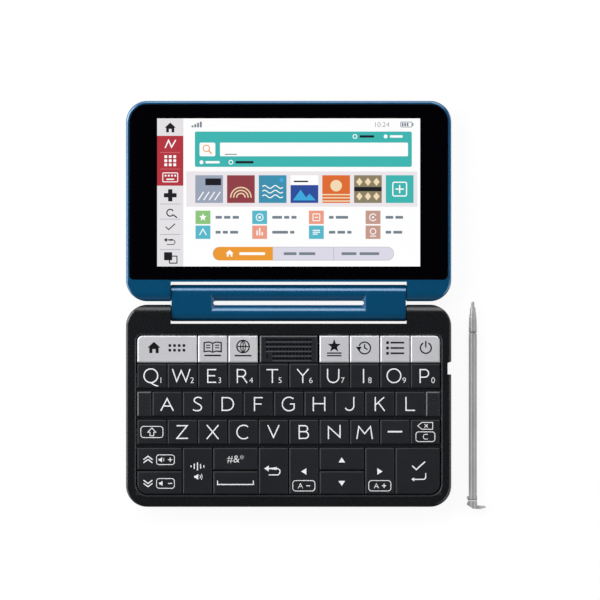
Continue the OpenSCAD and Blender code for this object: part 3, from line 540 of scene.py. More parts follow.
HOUSE = [[(-3.05, -0.1), (0, 2.65), (3.05, -0.1), (2.2, -0.1), (2.2, -2.65), (0.75, -2.65), (0.75, -0.75),
          (-0.75, -0.75), (-0.75, -2.65), (-2.2, -2.65), (-2.2, -0.1)]]
DOTS = [box(x, y, 1.25, 1.25, 0.3) for y in (1.1, -1.1) for x in (-3.3, -1.1, 1.1, 3.3)]
SHELF = [box(0, -3.7, 7.8, 0.7)]
OPEN_BOOK = [line([(0, -2.2), (-1.6, -1.6), (-4, -1.9), (-4, 2.3), (-1.6, 2.6), (0, 2.0), (1.6, 2.6),
                   (4, 2.3), (4, -1.9), (1.6, -1.6), (0, -2.2)], 0.6),
             line([(0, -2.0), (0, 1.8)], 0.5)]
OPEN_BOOK += [box(x, y, 2.0, 0.5) for x in (-2.1, 2.1) for y in (1.1, -0.1)] + SHELF
GLOBE = [ring(0, 0.6, 3.2, 0.6), box(0, 0.6, 5.8, 0.5), line([(0, -2.4), (0, 3.6)], 0.5),
         line(bend(-2.9, 0.6, 4.1, -44, 44, 12), 0.45), line(bend(2.9, 0.6, 4.1, 136, 224, 12), 0.45)] + SHELF
STAR = moved([star(3.2)], 0, 0.9) + [box(0, -3.6, 6.8, 0.6), box(0, -2.4, 6.8, 0.6)]
CLOCK = [line(bend(0, 0, 2.75, -160, 160, 36), 0.62), line([(0, 1.8), (0, 0), (1.4, -0.7)], 0.6),
         [(-4.1, 0.6), (-1.3, 0.6), (-2.7, -1.5)]]
LIST = [part for y in (2.5, 0, -2.5) for part in (box(-3.5, y, 1.3, 1.3, 0.2), box(1.1, y, 6.4, 0.8))]
POWER = [line(bend(0, 0, 2.55, 118, 422, 36), 0.65), box(0, 1.7, 0.65, 3.1)]
SHIFT = [rim(0, 0, 10.7, 5.6, 1.5, 0.33),
         loop([(0, 1.9), (1.9, -0.1), (0.9, -0.1), (0.9, -1.8), (-0.9, -1.8), (-0.9, -0.1), (-1.9, -0.1)],
              0.34)]
LOUDER = moved(CHEVRONS, -5.4, -0.3) + moved(
    PLATE + moved(SPEAKER + WAVE, -1.9, 0, 0.85) + moved(PLUS, 2.2, 0), 2.8, -0.4)
SOFTER = moved(flipped(CHEVRONS, y=-1), -5.4, -0.3) + moved(
    PLATE + moved(SPEAKER, -1.7, 0, 0.85) + moved(MINUS, 2.2, 0), 2.8, -0.3)
SPACE_BAR = [line([(-8.4, 1.0), (-8.4, -0.8), (8.4, -0.8), (8.4, 1.0)], 0.5)]
GO_BACK = [line([(-2.4, 1.2), (1.6, 1.2)] + bend(1.6, -0.3, 1.5, 90, -90, 12) + [(-2.2, -1.8)], 0.5),
           [(-4.3, 1.2), (-2.2, 2.6), (-2.2, -0.2)]]
TICK = [line([(-2.9, 0.2), (-1.0, -1.6), (3.1, 2.1)], 0.62)]
RETURN = [line([(3.1, 1.7), (3.1, -0.1)] + bend(2.0, -0.1, 1.1, 0, -90, 6)[1:] + [(-2.6, -1.2)], 0.5),
          [(-3.6, -1.2), (-2.3, -0.3), (-2.3, -2.1)]]
DELETE = [loop([(-3.6, 0), (-1.7, 1.6), (3.4, 1.6), (3.4, -1.6), (-1.7, -1.6)], 0.34),
          line([(-0.4, -0.8), (1.2, 0.8)], 0.34), line([(-0.4, 0.8), (1.2, -0.8)], 0.34)]

ICONS = {
    "key_home": moved(HOUSE, -6.15, 0.75) + moved(DOTS, 4.6, 0.55),
    "key_dictionary_a": moved(OPEN_BOOK, 0, 0.7),
    "key_dictionary_b": moved(GLOBE, 0, 0.6),
    "key_favourites": moved(STAR, 0, 0.5),
    "key_history": moved(CLOCK, 0, 0.5),
    "key_contents": moved(LIST, 0, 0.5),
    "key_power": moved(POWER, 0.2, 0.55),
    "key_shift": SHIFT,
    "key_page_up": LOUDER,
    "key_page_down": SOFTER,
    "key_speak": moved(VOICE, 0, 2.2) + moved(SPEAKER + WAVES, 0, -2.7),
    "key_space": SPACE_BAR,
    "key_back": GO_BACK,
    "key_left": moved(POINTER, 0, -0.2) + moved(CAPTION + moved(MINUS, 2.0, 0), 0, -6.9),
    "key_right": moved(flipped(POINTER, x=-1), 0, -0.2) + moved(CAPTION + moved(PLUS, 2.0, 0), 0, -6.9),
    "key_up": moved(TRIANGLE, 0, -0.5),
    "key_down": moved(flipped(TRIANGLE, y=-1), 0, -0.3),
    "key_enter": moved(TICK, 0.3, 2.3) + moved(RETURN, 0.6, -2.7),
    "key_dash": [box(0, 0.15, 6.8, 0.75)],
    "key_delete": moved(DELETE, 0, 2.9) + moved([rim(0, 0, 9.2, 4.9, 1.4, 0.33)], 0, -2.2),
}
# Digit beside a letter, and its distance from the key's middle
DIGITS = {"q": ("1", 4.2), "w": ("2", 4.6), "e": ("3", 3.3), "r": ("4", 3.8), "t": ("5", 3.1),
          "y": ("6", 3.3), "u": ("7", 4.0), "i": ("8", 2.5), "o": ("9", 4.3), "p": ("0", 3.6)}
# Small characters on keys, most of which also have an icon: (text, height, x, y)
SMALL_TEXT = {"key_symbol": ("#&*", 3.4, 0, 0), "key_left": ("A", 2.5, -1.6, -6.9),
              "key_right": ("A", 2.5, -1.6, -6.9), "key_delete": ("C", 2.6, 0, -2.2)}


# The picture on the display: shapes in millimetres from the lit area's lower left corner

SCREEN_COLOURS = {
    "paper": "#ffffff", "bar": "#e5e2e5", "band": "#ece7ea", "teal": "#3bb5b0", "white": "#ffffff",
    "text": "#74808a", "dark": "#111216", "red": "#b3303a", "red_line": "#cf6a70", "orange": "#ee9a2b",
    "lavender": "#dcdae6", "outline": "#a9a7b4", "tile_blue": "#55b9cb", "tile_green": "#8dc67b",
    "tile_salmon": "#ee9d83", "tile_tan": "#c59a8b", "slate": "#9aa5b8", "maroon": "#8f3c41",
    "sea": "#3a90af", "navy": "#28499a", "rust": "#df6a2a", "olive": "#8b8064", "sky": "#3aa8db",
    "cream": "#f3dcb4",
}
TOOLBAR_W = 12.3
# Middle of what lies beside the toolbar, and the heights of its rows
MIDDLE = 68.6
STATUS_Y = 66.6
CHOICES_Y = 61.0
FIELD_Y = 54.9
HINTS_Y = 48.9
CARDS_Y = 36.3
TILES_Y = (23.05, 16.05)
TABS_Y = 6.0
CARD = 13.0
CARD_PITCH = 14.9
TILE_W = 7.0
TILE_H = 6.3
TILE_PITCH = 26.6


def status_line():
    """Battery, signal steps and the clock at the top of the picture."""
    battery = [rim(116.9, STATUS_Y, 5.6, 2.7, 0.6, 0.35), box(120.0, STATUS_Y, 0.5, 1.3)]
    charge = [box(115.2 + 1.15 * i, STATUS_Y, 0.8, 1.5) for i in range(3)]
    signal = [box(16.6 + 1.3 * i, 65.7 + 0.3 * i, 0.9, 0.9 + 0.6 * i) for i in range(4)]
    clock = moved(glyphs("10:24", 2.3), 105.6, STATUS_Y)
    return [("text", battery + charge + signal), ("text", clock)]


def search_panel():
    """Teal panel with a search field, a magnifier button and two rows of choices."""
    return [
        ("teal", [box(MIDDLE, 55.0, 101.8, 16.6, 0.8)]),
        ("white", [box(73.6, FIELD_Y, 88.2, 6.4, 0.5), box(23.6, FIELD_Y, 7.4, 6.4, 0.7),
                   ring(92.8, CHOICES_Y, 1.1, 0.4), disc(107.2, CHOICES_Y, 0.9),
                   box(112.2, CHOICES_Y, 6.0, 1.1, 0.3), disc(20.8, HINTS_Y, 0.9),
                   box(26.0, HINTS_Y, 6.6, 1.1, 0.3), ring(34.6, HINTS_Y, 1.1, 0.4)]),
        ("text", [box(34.6, 52.6, 5.6, 0.45)]),
        ("orange", [ring(23.1, 55.4, 1.7, 0.45), line([(24.3, 54.2), (25.6, 52.9)], 0.6)]),
        ("dark", [box(98.4, CHOICES_Y, 6.8, 1.1, 0.3), box(41.0, HINTS_Y, 8.4, 1.1, 0.3)]),
    ]


def cards():
    """Row of coloured cards with plain geometric designs."""
    xs = [24.4 + CARD_PITCH * i for i in range(7)]
    covers = ("slate", "maroon", "sea", "navy", "rust", "olive", "teal")
    low = -CARD / 2

    def on(card, parts):
        """Parts that are drawn about a card's middle, on that card."""
        return moved(parts, xs[card], CARDS_Y)

    hatching = [line([(-5.2 + 2.6 * i, low + 1.3), (-2.6 + 2.6 * i, low + 5.2)], 0.5) for i in range(4)]
    arches = [line(bend(0, -4.0, r, 0, 180, 18), 0.55) for r in (2.0, 3.4, 4.8)]
    steps = [-4.8 + 0.8 * i for i in range(13)]
    waves = [line([(x, y + 0.7 * math.sin(x * 1.25)) for x in steps], 0.45) for y in (-3.4, -1.2, 1.0)]
    peaks = [[(-5.4, low + 1.2), (-1.8, low + 6.2), (1.8, low + 1.2)],
             [(-0.4, low + 1.2), (2.4, low + 4.4), (5.4, low + 1.2)]]
    sunset = [disc(0, 1.6, 2.7)] + [box(0, low + 0.9 + 1.5 * i, CARD, 0.6) for i in range(3)]
    diamonds = [[(x, y + 1.9), (x + 1.5, y), (x, y - 1.9), (x - 1.5, y)]
                for x in (-4.0, 0.0, 4.0) for y in (-3.4, 3.4)]
    cross = [rim(0, 0, 7.0, 7.0, 1.0, 0.55), box(0, 0, 3.9, 0.6), box(0, 1.1, 0.6, 1.7),
             box(0, -1.1, 0.6, 1.7)]
    layers = [("band", [box(67.9, CARDS_Y, 108.4, 16.6)])]
    layers += [(cover, [box(x, CARDS_Y, CARD, CARD)]) for cover, x in zip(covers, xs)]
    return layers + [
        ("white", on(0, hatching) + on(2, waves) + on(3, [box(0, 4.2, CARD, 4.6)]) + on(6, cross)),
        ("cream", on(1, arches) + on(4, sunset) + on(5, diamonds)),
        ("dark", on(0, [box(1.9, 3.4, 7.4, 3.2)]) + on(3, [box(-1.6, 3.6, 6.8, 0.7)])
         + on(5, [box(0, 0, CARD, 2.0)])),
        ("sky", on(3, peaks) + on(2, [disc(4.2, 4.3, 1.0)])),
    ]


def tiles():
    """Two rows of small square icons with dashes where their labels would be."""
    designs = (
        ("tile_green", [star(1.9)], (3.0, 3.0, 3.0)),
        ("tile_blue", [ring(0, 0, 1.8, 0.4), disc(0, 0, 0.6)], (4.6, 2.4, 2.4)),
        ("tile_salmon", [rim(0, 0, 3.6, 3.6, 0.5, 0.4), box(0, 0, 1.8, 0.4)], (2.2, 5.8)),
        ("tile_tan", [line(bend(0, 0, 1.6, 30, 330, 18), 0.4), disc(0, 0, 0.5)], (3.6, 3.6)),
        ("tile_blue", [line([(-1.6, -1.3), (0, 1.5), (1.6, -1.3)], 0.45)], (2.4, 2.4, 3.8)),
        ("tile_salmon", [box(-1.2, -0.3, 0.6, 2.4), box(0, 0.3, 0.6, 3.6), box(1.2, -0.7, 0.6, 1.6)],
         (7.4, 2.0)),
        ("tile_blue", [line([(-1.7, y), (x, y)], 0.45) for x, y in ((1.7, 0.9), (1.7, 0), (0.6, -0.9))],
         (3.0, 3.6, 2.0)),
        ("tile_tan", [ring(0, 0.4, 1.5, 0.4), line([(-1.4, -1.8), (1.4, -1.8)], 0.4)], (2.6, 4.2)),
    )
    layers, signs, dashes = [], [], []
    for i, (colour, sign, widths) in enumerate(designs):
        x, y = 21.5 + TILE_PITCH * (i % 4), TILES_Y[i // 4]
        layers.append((colour, [box(x, y, TILE_W, TILE_H)]))
        signs += moved(sign, x, y)
        start = x + TILE_W / 2 + 2.4
        for width in widths:
            dashes.append(box(start + width / 2, y, width, 1.3, 0.3))
            start += width + 1.0
    return layers + [("white", signs), ("text", dashes)]


def tab_bar():
    """Rounded bar at the bottom with one orange section."""
    return [
        ("lavender", [box(MIDDLE, TABS_Y, 85.0, 6.4, 3.1)]),
        ("outline", [rim(MIDDLE, TABS_Y, 85.0, 6.4, 3.1, 0.18), box(MIDDLE + 14.2, TABS_Y, 0.2, 6.0)]),
        ("orange", [box(40.3, TABS_Y, 28.0, 6.4, 3.1), box(47.6, TABS_Y, 13.4, 6.4)]),
        ("white", moved(HOUSE, 34.0, 6.2, 0.6) + [box(44.6, TABS_Y, 12.0, 1.3, 0.3)]),
        ("text", [box(x, TABS_Y, width, 1.3, 0.3)
                  for x, width in ((62.4, 6.0), (70.4, 7.6), (90.0, 7.0), (99.6, 9.2))]),
    ]


def toolbar():
    """Grey strip of tools down the left side, three of them on a red field."""
    x = TOOLBAR_W / 2
    field_y = 49.6
    graph = [line([(x - 2.4, 55.6), (x - 0.8, 59.2), (x + 0.6, 56.0), (x + 2.6, 59.4)], 0.55)]
    dots = [box(x + dx, field_y + dy, 1.3, 1.3, 0.2) for dx in (-2.1, 0, 2.1) for dy in (-1.9, 0, 1.9)]
    keyboard = [rim(x, 41.8, 7.4, 4.6, 0.6, 0.4)]
    keyboard += [box(x + dx, 42.6, 0.8, 0.8) for dx in (-2.2, -0.7, 0.8, 2.3)] + [box(x, 40.9, 3.6, 0.6)]
    cross = [box(x, 33.4, 6.0, 2.0, 0.3), box(x, 35.3, 2.0, 1.9), box(x, 31.5, 2.0, 1.9)]
    magnifier = [line(bend(x, 25.2, 1.6, 30, 330, 18), 0.55), line([(x + 1.4, 24.2), (x + 3.2, 22.9)], 0.55)]
    windows = [box(x - 1.0, 4.8, 3.8, 3.8, 0.3), rim(x + 1.4, 3.2, 4.0, 3.8, 0.4, 0.5)]
    return [
        ("bar", [box(x, PICTURE_H / 2, TOOLBAR_W, PICTURE_H)]),
        ("red", [box(x, field_y, TOOLBAR_W, 23.4)]),
        ("red_line", [box(x, field_y + dy, 9.4, 0.3) for dy in (-3.9, 3.9)]),
        ("white", graph + dots + keyboard),
        ("outline", [box(x, y, 9.6, 0.28) for y in (29.3, 22.2, 15.0, 7.9)]),
        ("dark", moved(HOUSE, x, 65.2, 0.86) + cross + magnifier + moved(TICK, x, 18.5, 0.75)
         + moved(GO_BACK, x, 11.6, 0.72) + windows),
    ]


# Operators: one for each piece or group of like pieces

class DICTIONARY_OT_base(bpy.types.Operator):
    """Finish the two black shells of the keyboard half and their screws"""
    bl_idname = "dictionary.base"
    bl_label = "Base shells"

    def execute(self, context):
        colour = tuple(context.scene.dictionary_case.base)
        charcoal = tuple(context.scene.dictionary_keys.dark)
        # Moulded ABS with a fine spark-eroded grain: black with a soft satin sheen, lighter where it curves.
        # The blocks that stand among the keys have the keys' charcoal.
        blocks = ((0, -4.3, 10.0), (71.65, 37.6, 1.6), charcoal)
        abs_black = moulded("abs_black_satin", colour, 0.26, 0.7, 0.006, 0.12, IOR=1.6, zones=[blocks])
        finish("upper_case", abs_black, 0.2, 60)
        finish("lower_case", abs_black)
        self.grille_ridges(charcoal)
        # Zinc-plated steel: grey metal with a faint bright grain
        zinc = moulded("steel_zinc_plated", linear("#8a8c90"), 0.35, 0.4, 0.004, 0.1, Metallic=1.0)
        finish("case_screws", zinc)
        return {"FINISHED"}

    def grille_ridges(self, charcoal):
        """A thin ridge in front of each row of the speaker's holes, shorter at the two shorter rows, coloured
        lighter as a painted highlight.
        """
        # The same ABS made four times lighter than the block round it: a painted highlight along the front edge of
        # each row of holes
        highlight_abs = moulded("abs_charcoal_painted_highlight", shade(charcoal, 4.0)[:3], 0.3, 0.6, 0.004, 0.1, IOR=1.52)
        width, less, pitch = 21.4, 3.12, 2.2
        ridges = [box(less / 2 * (row > 2), pitch * (1.5 - row), width - less * (row > 2), 0.5, 0.2)
                  for row in range(5)]
        printed("grille_ridges", [(highlight_abs, ridges)], 0, SPEAKER_Y * MM, GRILLE_Z * MM, "base", "black_key", 0.1)


class DICTIONARY_OT_lid(bpy.types.Operator):
    """Finish the blue shells of the screen half, the hinge link and its shafts"""
    bl_idname = "dictionary.lid"
    bl_label = "Lid shells and hinge"

    def execute(self, context):
        # Painted ABS with fine metal flake under lacquer: deep blue, with bright bluish highlights on the
        # round edges. The flake reflects more than clear plastic, so the index of refraction is raised.
        paint = moulded("abs_blue_lacquer", tuple(context.scene.dictionary_case.lid), 0.2, 1.2, 0.002, 0.05,
                        IOR=2.4, **{"Specular Tint": shade(linear("#bcddff"), 1.0)})
        for node in ("lid_frame", "lid_cover", "hinge_link"):
            finish(node, paint)
        # Ground steel: bright metal with fine lines
        ground = moulded("steel_ground", linear("#b4b6ba"), 0.22, 0.3, 0.003, 0.05, Metallic=1.0)
        finish("hinge_shafts", ground)
        return {"FINISHED"}


class DICTIONARY_OT_washers(bpy.types.Operator):
    """Put a friction washer on each shaft, between the link and the ears"""
    bl_idname = "dictionary.washers"
    bl_label = "Hinge washers"

    def execute(self, context):
        # Moulded acetal: black and waxy, it closes the narrow gap beside the link, and its black also paints the
        # shade that fills that gap
        acetal = moulded("acetal_black_satin", linear("#0c0d0f"), 0.5, 0.6, 0.004, 0.1)
        low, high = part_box("hinge_link")
        profile = [(1.5, 0.0), (3.5, 0.0), (3.6, 0.1), (3.6, 0.2), (3.5, 0.3), (1.5, 0.3), (1.5, 0.0)]
        for joint in frame["joints"]:
            if not joint["name"].endswith("_hinge"):
                continue
            y, z = joint["pos_m"][1:]
            for side, x in (("left", low.x - 0.35 * MM), ("right", high.x + 0.05 * MM)):
                lathe(f"washer_{joint['name']}_{side}", profile, acetal, (x, y, z), (1, 0, 0), "link")
        return {"FINISHED"}


class DICTIONARY_OT_insides(bpy.types.Operator):
    """Finish what the shells hold: display, circuit board, membrane and battery"""
    bl_idname = "dictionary.insides"
    bl_label = "Parts inside"

    def execute(self, context):
        # Solder resist on glass fibre: green with a satin gloss. The chips under the board, the speaker and
        # the phone jack are black, and the two sockets have the grey of tinned shells.
        black, tinned = linear("#17181a"), linear("#a3a5a8")
        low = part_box("main_board")[0] / MM
        # Height of the board's underside
        under = low.z + 4.1
        chips = ((0, 0, under - 3), (75, 50, 2.99), black)
        speaker = ((0, SPEAKER_Y, under + 0.55), (11.05, 5.05, 2.0), black)
        port = ((low.x + 5.75, PORT_Y, under - 1.2), (5.8, 3.8, 1.26), tinned)
        card_slot = ((low.x + 10, CARD_SLOT_Y, under - 0.7), (10.05, 5.75, 0.72), tinned)
        resist = moulded("board_green_resist", linear("#1f5a3a"), 0.3, 1.0, 0.01, 0.15,
                         zones=[chips, speaker, port, card_slot])
        finish("main_board", resist)
        # Polyester film with black carbon print: dark and matt, so that the gaps between the keys stay dark, which
        # also paints the shade between the keys
        film = moulded("film_polyester_matt", linear("#1d1e20"), 0.6, 1.5, 0.005, 0.05)
        finish("key_sheet", film)
        # Pouch foil: dull silver with soft creases
        foil = moulded("foil_battery_pouch", linear("#9a9da2"), 0.42, 3.0, 0.05, 0.05, Metallic=0.8)
        finish("battery", foil)
        # Tinned sheet: satin metal
        tin = moulded("tinplate_satin", linear("#a5a7aa"), 0.3, 1.0, 0.005, 0.05, Metallic=1.0)
        finish("lcd_module", tin)
        return {"FINISHED"}


class DICTIONARY_OT_keys(bpy.types.Operator):
    """Finish the key caps: charcoal letter keys and the painted top row"""
    bl_idname = "dictionary.keys"
    bl_label = "Key caps"

    def execute(self, context):
        settings = context.scene.dictionary_keys
        # Moulded ABS: charcoal, satin, with a thin faint line of light on the bevels round each top. The caps
        # are duller than clear plastic, so the reflection at right angles is reduced.
        charcoal = moulded("abs_charcoal_satin", tuple(settings.dark), 0.34, 0.6, 0.006, 0.12, IOR=1.48,
                           **{"Specular IOR Level": 0.18})
        # Sprayed silver paint: pale grey with a fine metal fleck
        silver = moulded("paint_silver_fleck", tuple(settings.silver), 0.36, 0.5, 0.004, 0.03, Metallic=0.25)
        for name in KEYS:
            finish(name, silver if name in SILVER_KEYS else charcoal, 0.08)
        return {"FINISHED"}


class DICTIONARY_OT_panel(bpy.types.Operator):
    """Finish the touch panel's glass"""
    bl_idname = "dictionary.panel"
    bl_label = "Touch panel"

    def execute(self, context):
        # Float glass with black print behind it: deep black, mirror gloss, faint finger haze
        glass = moulded("glass_black_print", linear("#010104"), 0.05, 9.0, 0.0005, 0.1, IOR=1.5)
        finish("touch_panel", glass, 0.2)
        return {"FINISHED"}


class DICTIONARY_OT_stylus(bpy.types.Operator):
    """Finish the stylus"""
    bl_idname = "dictionary.stylus"
    bl_label = "Stylus"

    def execute(self, context):
        # Drawn tube with satin grey paint: light and dark lines along it that are painted highlights and painted
        # shade, a dark joint behind the tip, and at the foot a bright ring that is a painted highlight
        places = ((34.6, 0.2, "#5c5e5d"), (-44.2, 0.2, "#6a6c6b"), (-44.7, 0.25, "#dcdcda"))
        bands = [((STYLUS_X, y, STYLUS_Z), (2.5, half, 2.5), linear(code)) for y, half, code in places]
        grey = moulded("tube_grey_satin", tuple(context.scene.dictionary_case.stylus), 0.36, 0.6, 0.004, 0.06,
                       zones=bands, sheen_lines=(STYLUS_X, STYLUS_Z, 8, 0.22), Metallic=0.12, IOR=1.45)
        finish("stylus", grey)
        return {"FINISHED"}


class DICTIONARY_OT_letters(bpy.types.Operator):
    """Print the letters and digits on the letter keys"""
    bl_idname = "dictionary.letters"
    bl_label = "Letters"

    def execute(self, context):
        settings = context.scene.dictionary_keys
        ink = white_ink(settings)
        height, digit_height = settings.letter / MM, settings.digit / MM
        for name in KEYS:
            letter = name[4:]
            if len(letter) != 1:
                continue
            # A letter with a digit beside it stands half a millimetre further left
            parts = moved(strokes(letter.upper(), height), -0.5 if letter in DIGITS else 0, 0)
            if letter in DIGITS:
                digit, x = DIGITS[letter]
                parts += moved(glyphs(digit, digit_height), x, (digit_height - height) / 2)
            printed("legend_" + letter, [(ink, parts)], *key_face(name), name + "_cap", "silver_key")
        return {"FINISHED"}


class DICTIONARY_OT_icons(bpy.types.Operator):
    """Print the icons on the other keys"""
    bl_idname = "dictionary.icons"
    bl_label = "Icons"

    def execute(self, context):
        white = white_ink(context.scene.dictionary_keys)
        # Screen-printed ink: soft black, matt
        black = moulded("ink_black_matt", linear("#08080a"), 0.55, 0.5, 0.002, 0.05,
                        **{"Specular IOR Level": 0.2})
        for name in sorted(set(ICONS) | set(SMALL_TEXT)):
            parts = list(ICONS.get(name, []))
            if name in SMALL_TEXT:
                text, height, x, y = SMALL_TEXT[name]
                parts += moved(glyphs(text, height), x, y)
            ink, slot = (black, "black_key") if name in SILVER_KEYS else (white, "silver_key")
            printed("legend_" + name[4:], [(ink, parts)], *key_face(name), name + "_cap", slot)
        return {"FINISHED"}


class DICTIONARY_OT_screen(bpy.types.Operator):
    """Draw the lit picture on the display"""
    bl_idname = "dictionary.screen"
    bl_label = "Display picture"

    def execute(self, context):
        settings = context.scene.dictionary_screen
        lit = {name: lit_pixels("display_" + name, linear(code), settings.brightness)
               for name, code in SCREEN_COLOURS.items()}
        low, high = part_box("touch_panel")
        x, y = -settings.width / 2, low.y + settings.sill
        width, height = settings.width / MM, settings.height / MM
        paper = [(lit["paper"], [box(width / 2, height / 2, width, height)])]
        printed("display_paper", paper, x, y, high.z, "lid", "panel_glass", 0.01)
        groups = {"status": status_line(), "search": search_panel(), "cards": cards(), "tiles": tiles(),
                  "tabs": tab_bar(), "toolbar": toolbar()}
        for name, layers in groups.items():
            printed("display_" + name, [(lit[colour], parts) for colour, parts in layers], x, y,
                    high.z + 0.01 * MM, "lid", "panel_glass", 0.005, 0.005)
        return {"FINISHED"}


class DICTIONARY_OT_feet(bpy.types.Operator):
    """Set the four rubber feet into the underside"""
    bl_idname = "dictionary.feet"
    bl_label = "Rubber feet"

    def execute(self, context):
        # Silicone rubber: black and matt
        rubber = moulded("rubber_black_matt", linear("#202124"), 0.7, 0.9, 0.02, 0.1)
        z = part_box("lower_case")[0].z
        dome = context.scene.dictionary_case.foot_dome / MM
        profile = [(0, 0.5), (3.85, 0.5), (3.85, dome + 0.05), (3.7, dome * 0.6), (2.6, dome * 0.2), (0, 0)]
        for i, x in enumerate(FEET_X):
            for j, y in enumerate(FEET_Y):
                lathe(f"foot_{i}{j}", profile, rubber, (x * MM, y * MM, z), (0, 0, 1), "base")
        return {"FINISHED"}


class DICTIONARY_OT_ports(bpy.types.Operator):
    """Line the phone jack and fit the tongue of the charging port"""
    bl_idname = "dictionary.ports"
    bl_label = "Ports"

    def execute(self, context):
        # Nickel plate: bright warm metal
        nickel = moulded("brass_nickel_plated", linear("#c9c6bf"), 0.22, 0.3, 0.002, 0.05, Metallic=1.0)
        mount = next(m for m in frame["record"]["mounts"] if m["name"] == "phone_jack")
        x, y, z = mount["pos_m"]
        mouth = x - mount["dims"]["length_mm"] / 2 * MM
        # Rolled lip of the jack's sleeve, outward from its mouth
        profile = [(1.82, 0.0), (1.82, 1.2), (1.9, 1.3), (2.0, 1.3), (2.08, 1.2), (2.08, 0.0), (1.82, 0.0)]
        lathe("jack_collar", profile, nickel, (mouth, y, z), (-1, 0, 0), "base")
        # Moulded nylon: black and matt, it fills the window in the case round the sleeve
        nylon = moulded("nylon_black_matt", linear("#17181a"), 0.6, 0.6, 0.01, 0.1)
        turns = [(math.cos(math.radians(9 * i)), math.sin(math.radians(9 * i))) for i in range(40)]
        hole = [(2.09 * c, 2.09 * s) for c, s in turns]
        # A circle pressed flat against the window's four sides, which leaves its corners cut
        window = [(2.4 * max(-1, min(1, 1.42 * c)), 2.1 * max(-1, min(1, 1.42 * s))) for c, s in turns]
        face = printed("jack_face", [(nylon, [(window, hole)])], mouth, y, z, "base", "black_abs", 0.7, 0.0)
        # Tongue of the charging port, inside its shell
        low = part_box("main_board")[0]
        tongue = printed("port_tongue", [(nylon, [box(0, 0, 5.2, 0.6, 0.15)])], low.x + 4.6 * MM,
                         PORT_Y * MM, TONGUE_Z * MM, "base", "black_abs", 3.6, 0.0)
        # Both are drawn lying down and face out of the left wall
        for piece in (face, tongue):
            piece.rotation_euler = (math.pi / 2, 0, -math.pi / 2)
        return {"FINISHED"}


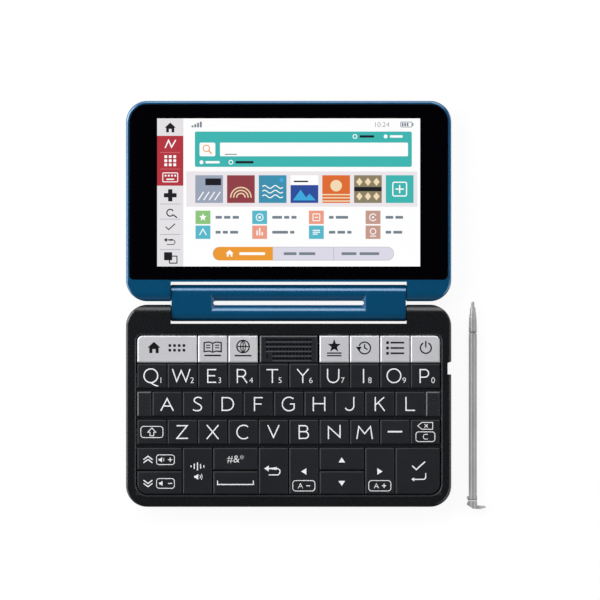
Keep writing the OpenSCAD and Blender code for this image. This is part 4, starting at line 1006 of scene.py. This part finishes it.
class DICTIONARY_OT_studio(bpy.types.Operator):
    """Build the floor, the softboxes, the sky and the camera"""
    bl_idname = "dictionary.studio"
    bl_label = "Studio"

    def execute(self, context):
        scene = context.scene
        scene.view_settings.view_transform = "Standard"
        self.floor(scene.dictionary_studio.floor)
        self.sky(scene)
        self.softboxes(scene.dictionary_studio.lamps)
        self.camera(scene)
        return {"FINISHED"}

    def floor(self, colour):
        """Pale paper that the camera sees as white and that keeps the soft shadow."""
        mesh = bpy.data.meshes.new("floor")
        width = 6.0
        mesh.from_pydata([(x, y, 0) for x, y in box(0, 0, width, width)], [], [(0, 1, 2, 3)])
        material, tree = blank_material("paper_pale_matt")
        place = add(tree, "ShaderNodeTexCoord").outputs["Object"]
        fibre_mm = 4
        fibre = add(tree, "ShaderNodeTexNoise",
                    {"Vector": place, "Scale": per_metre(fibre_mm), "Detail": 4.0})
        tone = add(tree, "ShaderNodeValToRGB", {"Fac": fibre},
                   [(0.3, shade(colour, 0.99)), (0.7, shade(colour, 1.0))])
        paper = add(tree, "ShaderNodeBsdfDiffuse", {"Color": tone})
        glow = add(tree, "ShaderNodeEmission", {"Color": WHITE, "Strength": 1.05})
        veiled = add(tree, "ShaderNodeMixShader", {0: 0.87, 1: paper, 2: glow})
        path = add(tree, "ShaderNodeLightPath").outputs
        seen = add(tree, "ShaderNodeMath", {0: path["Is Camera Ray"], 1: path["Is Glossy Ray"]},
                   operation="MAXIMUM")
        seen = add(tree, "ShaderNodeMath", {0: seen, 1: path["Is Transmission Ray"]}, operation="MAXIMUM")
        surface = add(tree, "ShaderNodeMixShader", {0: seen, 1: paper, 2: veiled})
        add(tree, "ShaderNodeOutputMaterial", {"Surface": surface})
        mesh.materials.append(material)
        floor = linked("floor", mesh)
        floor.location = (0, 0, -0.1 * MM)

    def sky(self, scene):
        """Studio walls: white at the horizon and dimmer overhead, the brighter ones at the left and back."""
        world = bpy.data.worlds.new("studio_walls")
        world.use_nodes = True
        tree = world.node_tree
        tree.nodes.clear()
        way = add(tree, "ShaderNodeTexCoord").outputs["Generated"]
        parts = add(tree, "ShaderNodeSeparateXYZ", {"Vector": way}).outputs
        levels = ((0.0, 1.0), (0.12, 1.0), (0.5, 0.45), (0.8, 0.07), (1.0, 0.03))
        walls = add(tree, "ShaderNodeValToRGB", {"Fac": parts["Z"]},
                    [(height, shade(WHITE, level)) for height, level in levels])
        side = add(tree, "ShaderNodeMapRange", {"Value": parts["X"], "From Min": -1.0, "From Max": 1.0,
                                                "To Min": 1.1, "To Max": 0.25})
        back = add(tree, "ShaderNodeMapRange", {"Value": parts["Y"], "From Min": -1.0, "From Max": 0.6,
                                                "To Min": 0.35, "To Max": 1.0})
        level = add(tree, "ShaderNodeMath", {0: side, 1: back}, operation="MULTIPLY")
        light = add(tree, "ShaderNodeBackground", {"Color": walls, "Strength": level})
        add(tree, "ShaderNodeOutputWorld", {"Surface": light})
        scene.world = world

    def softboxes(self, strength):
        """Soft lamps round the dictionary: azimuth 0 is in front, 90 at the right."""
        middle = Vector((0, 50 * MM, 0))
        distance = 1.3
        # Name, azimuth, elevation, width, height, watts
        for name, azimuth, elevation, width, height, watts in (
                ("softbox_left", 240, 42, 0.9, 0.6, 10.0),
                ("softbox_right", 60, 50, 0.8, 0.5, 2.8),
                ("softbox_back", 165, 46, 0.9, 0.5, 4.5),
                ("strip_back", 180, 28, 1.5, 0.24, 3.2),
                ("strip_left", 270, 24, 1.4, 0.5, 9.0),
                ("strip_right", 90, 14, 1.4, 0.3, 4.0)):
            light = bpy.data.lights.new(name, "AREA")
            light.shape = "RECTANGLE"
            light.size, light.size_y = width, height
            light.energy = watts * strength
            a, e = math.radians(azimuth), math.radians(elevation)
            towards = Vector((math.sin(a) * math.cos(e), -math.cos(a) * math.cos(e), math.sin(e)))
            lamp = linked(name, light)
            lamp.location = middle + towards * distance
            lamp.rotation_mode = "QUATERNION"
            lamp.rotation_quaternion = towards.to_track_quat("Z", "Y")

    def camera(self, scene):
        """Long lens that looks straight down on the photograph's middle."""
        lens = bpy.data.cameras.new("camera")
        lens.lens = 300
        lens.sensor_width = 36
        lens.clip_end = 20
        eye = linked("camera", lens)
        # The chosen width is seen at the mean height of the top faces
        middle_x, middle_y, tops = 5.33 * MM, 49.66 * MM, 5.5 * MM
        distance = scene.dictionary_studio.frame_width * lens.lens / lens.sensor_width
        eye.location = (middle_x, middle_y, tops + distance)
        scene.camera = eye


class DICTIONARY_PT_panel(bpy.types.Panel):
    """Lists the pieces and what can be changed on them"""
    bl_label = "Electronic dictionary"
    bl_idname = "DICTIONARY_PT_panel"
    bl_space_type = "VIEW_3D"
    bl_region_type = "UI"
    bl_category = "Dictionary"

    def draw(self, context):
        for group in GROUPS:
            settings = getattr(context.scene, group)
            column = self.layout.column(align=True)
            for name in settings.bl_rna.properties.keys():
                if name not in ("rna_type", "name"):
                    column.prop(settings, name)
        for operator in OPERATORS:
            self.layout.operator(operator.bl_idname)


GROUPS = {"dictionary_case": DICTIONARY_PG_case, "dictionary_keys": DICTIONARY_PG_keys,
          "dictionary_screen": DICTIONARY_PG_screen, "dictionary_studio": DICTIONARY_PG_studio}
OPERATORS = (DICTIONARY_OT_studio, DICTIONARY_OT_base, DICTIONARY_OT_lid, DICTIONARY_OT_washers,
             DICTIONARY_OT_insides, DICTIONARY_OT_keys, DICTIONARY_OT_panel, DICTIONARY_OT_stylus,
             DICTIONARY_OT_letters, DICTIONARY_OT_icons, DICTIONARY_OT_screen, DICTIONARY_OT_feet,
             DICTIONARY_OT_ports)


def register():
    for group in GROUPS.values():
        bpy.utils.register_class(group)
    for name, group in GROUPS.items():
        setattr(bpy.types.Scene, name, bpy.props.PointerProperty(type=group))
    for operator in OPERATORS:
        bpy.utils.register_class(operator)
    bpy.utils.register_class(DICTIONARY_PT_panel)


def unregister():
    bpy.utils.unregister_class(DICTIONARY_PT_panel)
    for operator in reversed(OPERATORS):
        bpy.utils.unregister_class(operator)
    for name, group in reversed(GROUPS.items()):
        delattr(bpy.types.Scene, name)
        bpy.utils.unregister_class(group)


def main():
    """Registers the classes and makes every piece."""
    register()
    for operator in OPERATORS:
        getattr(bpy.ops.dictionary, operator.bl_idname.split(".")[1])()


if __name__ == "__main__":
    main()
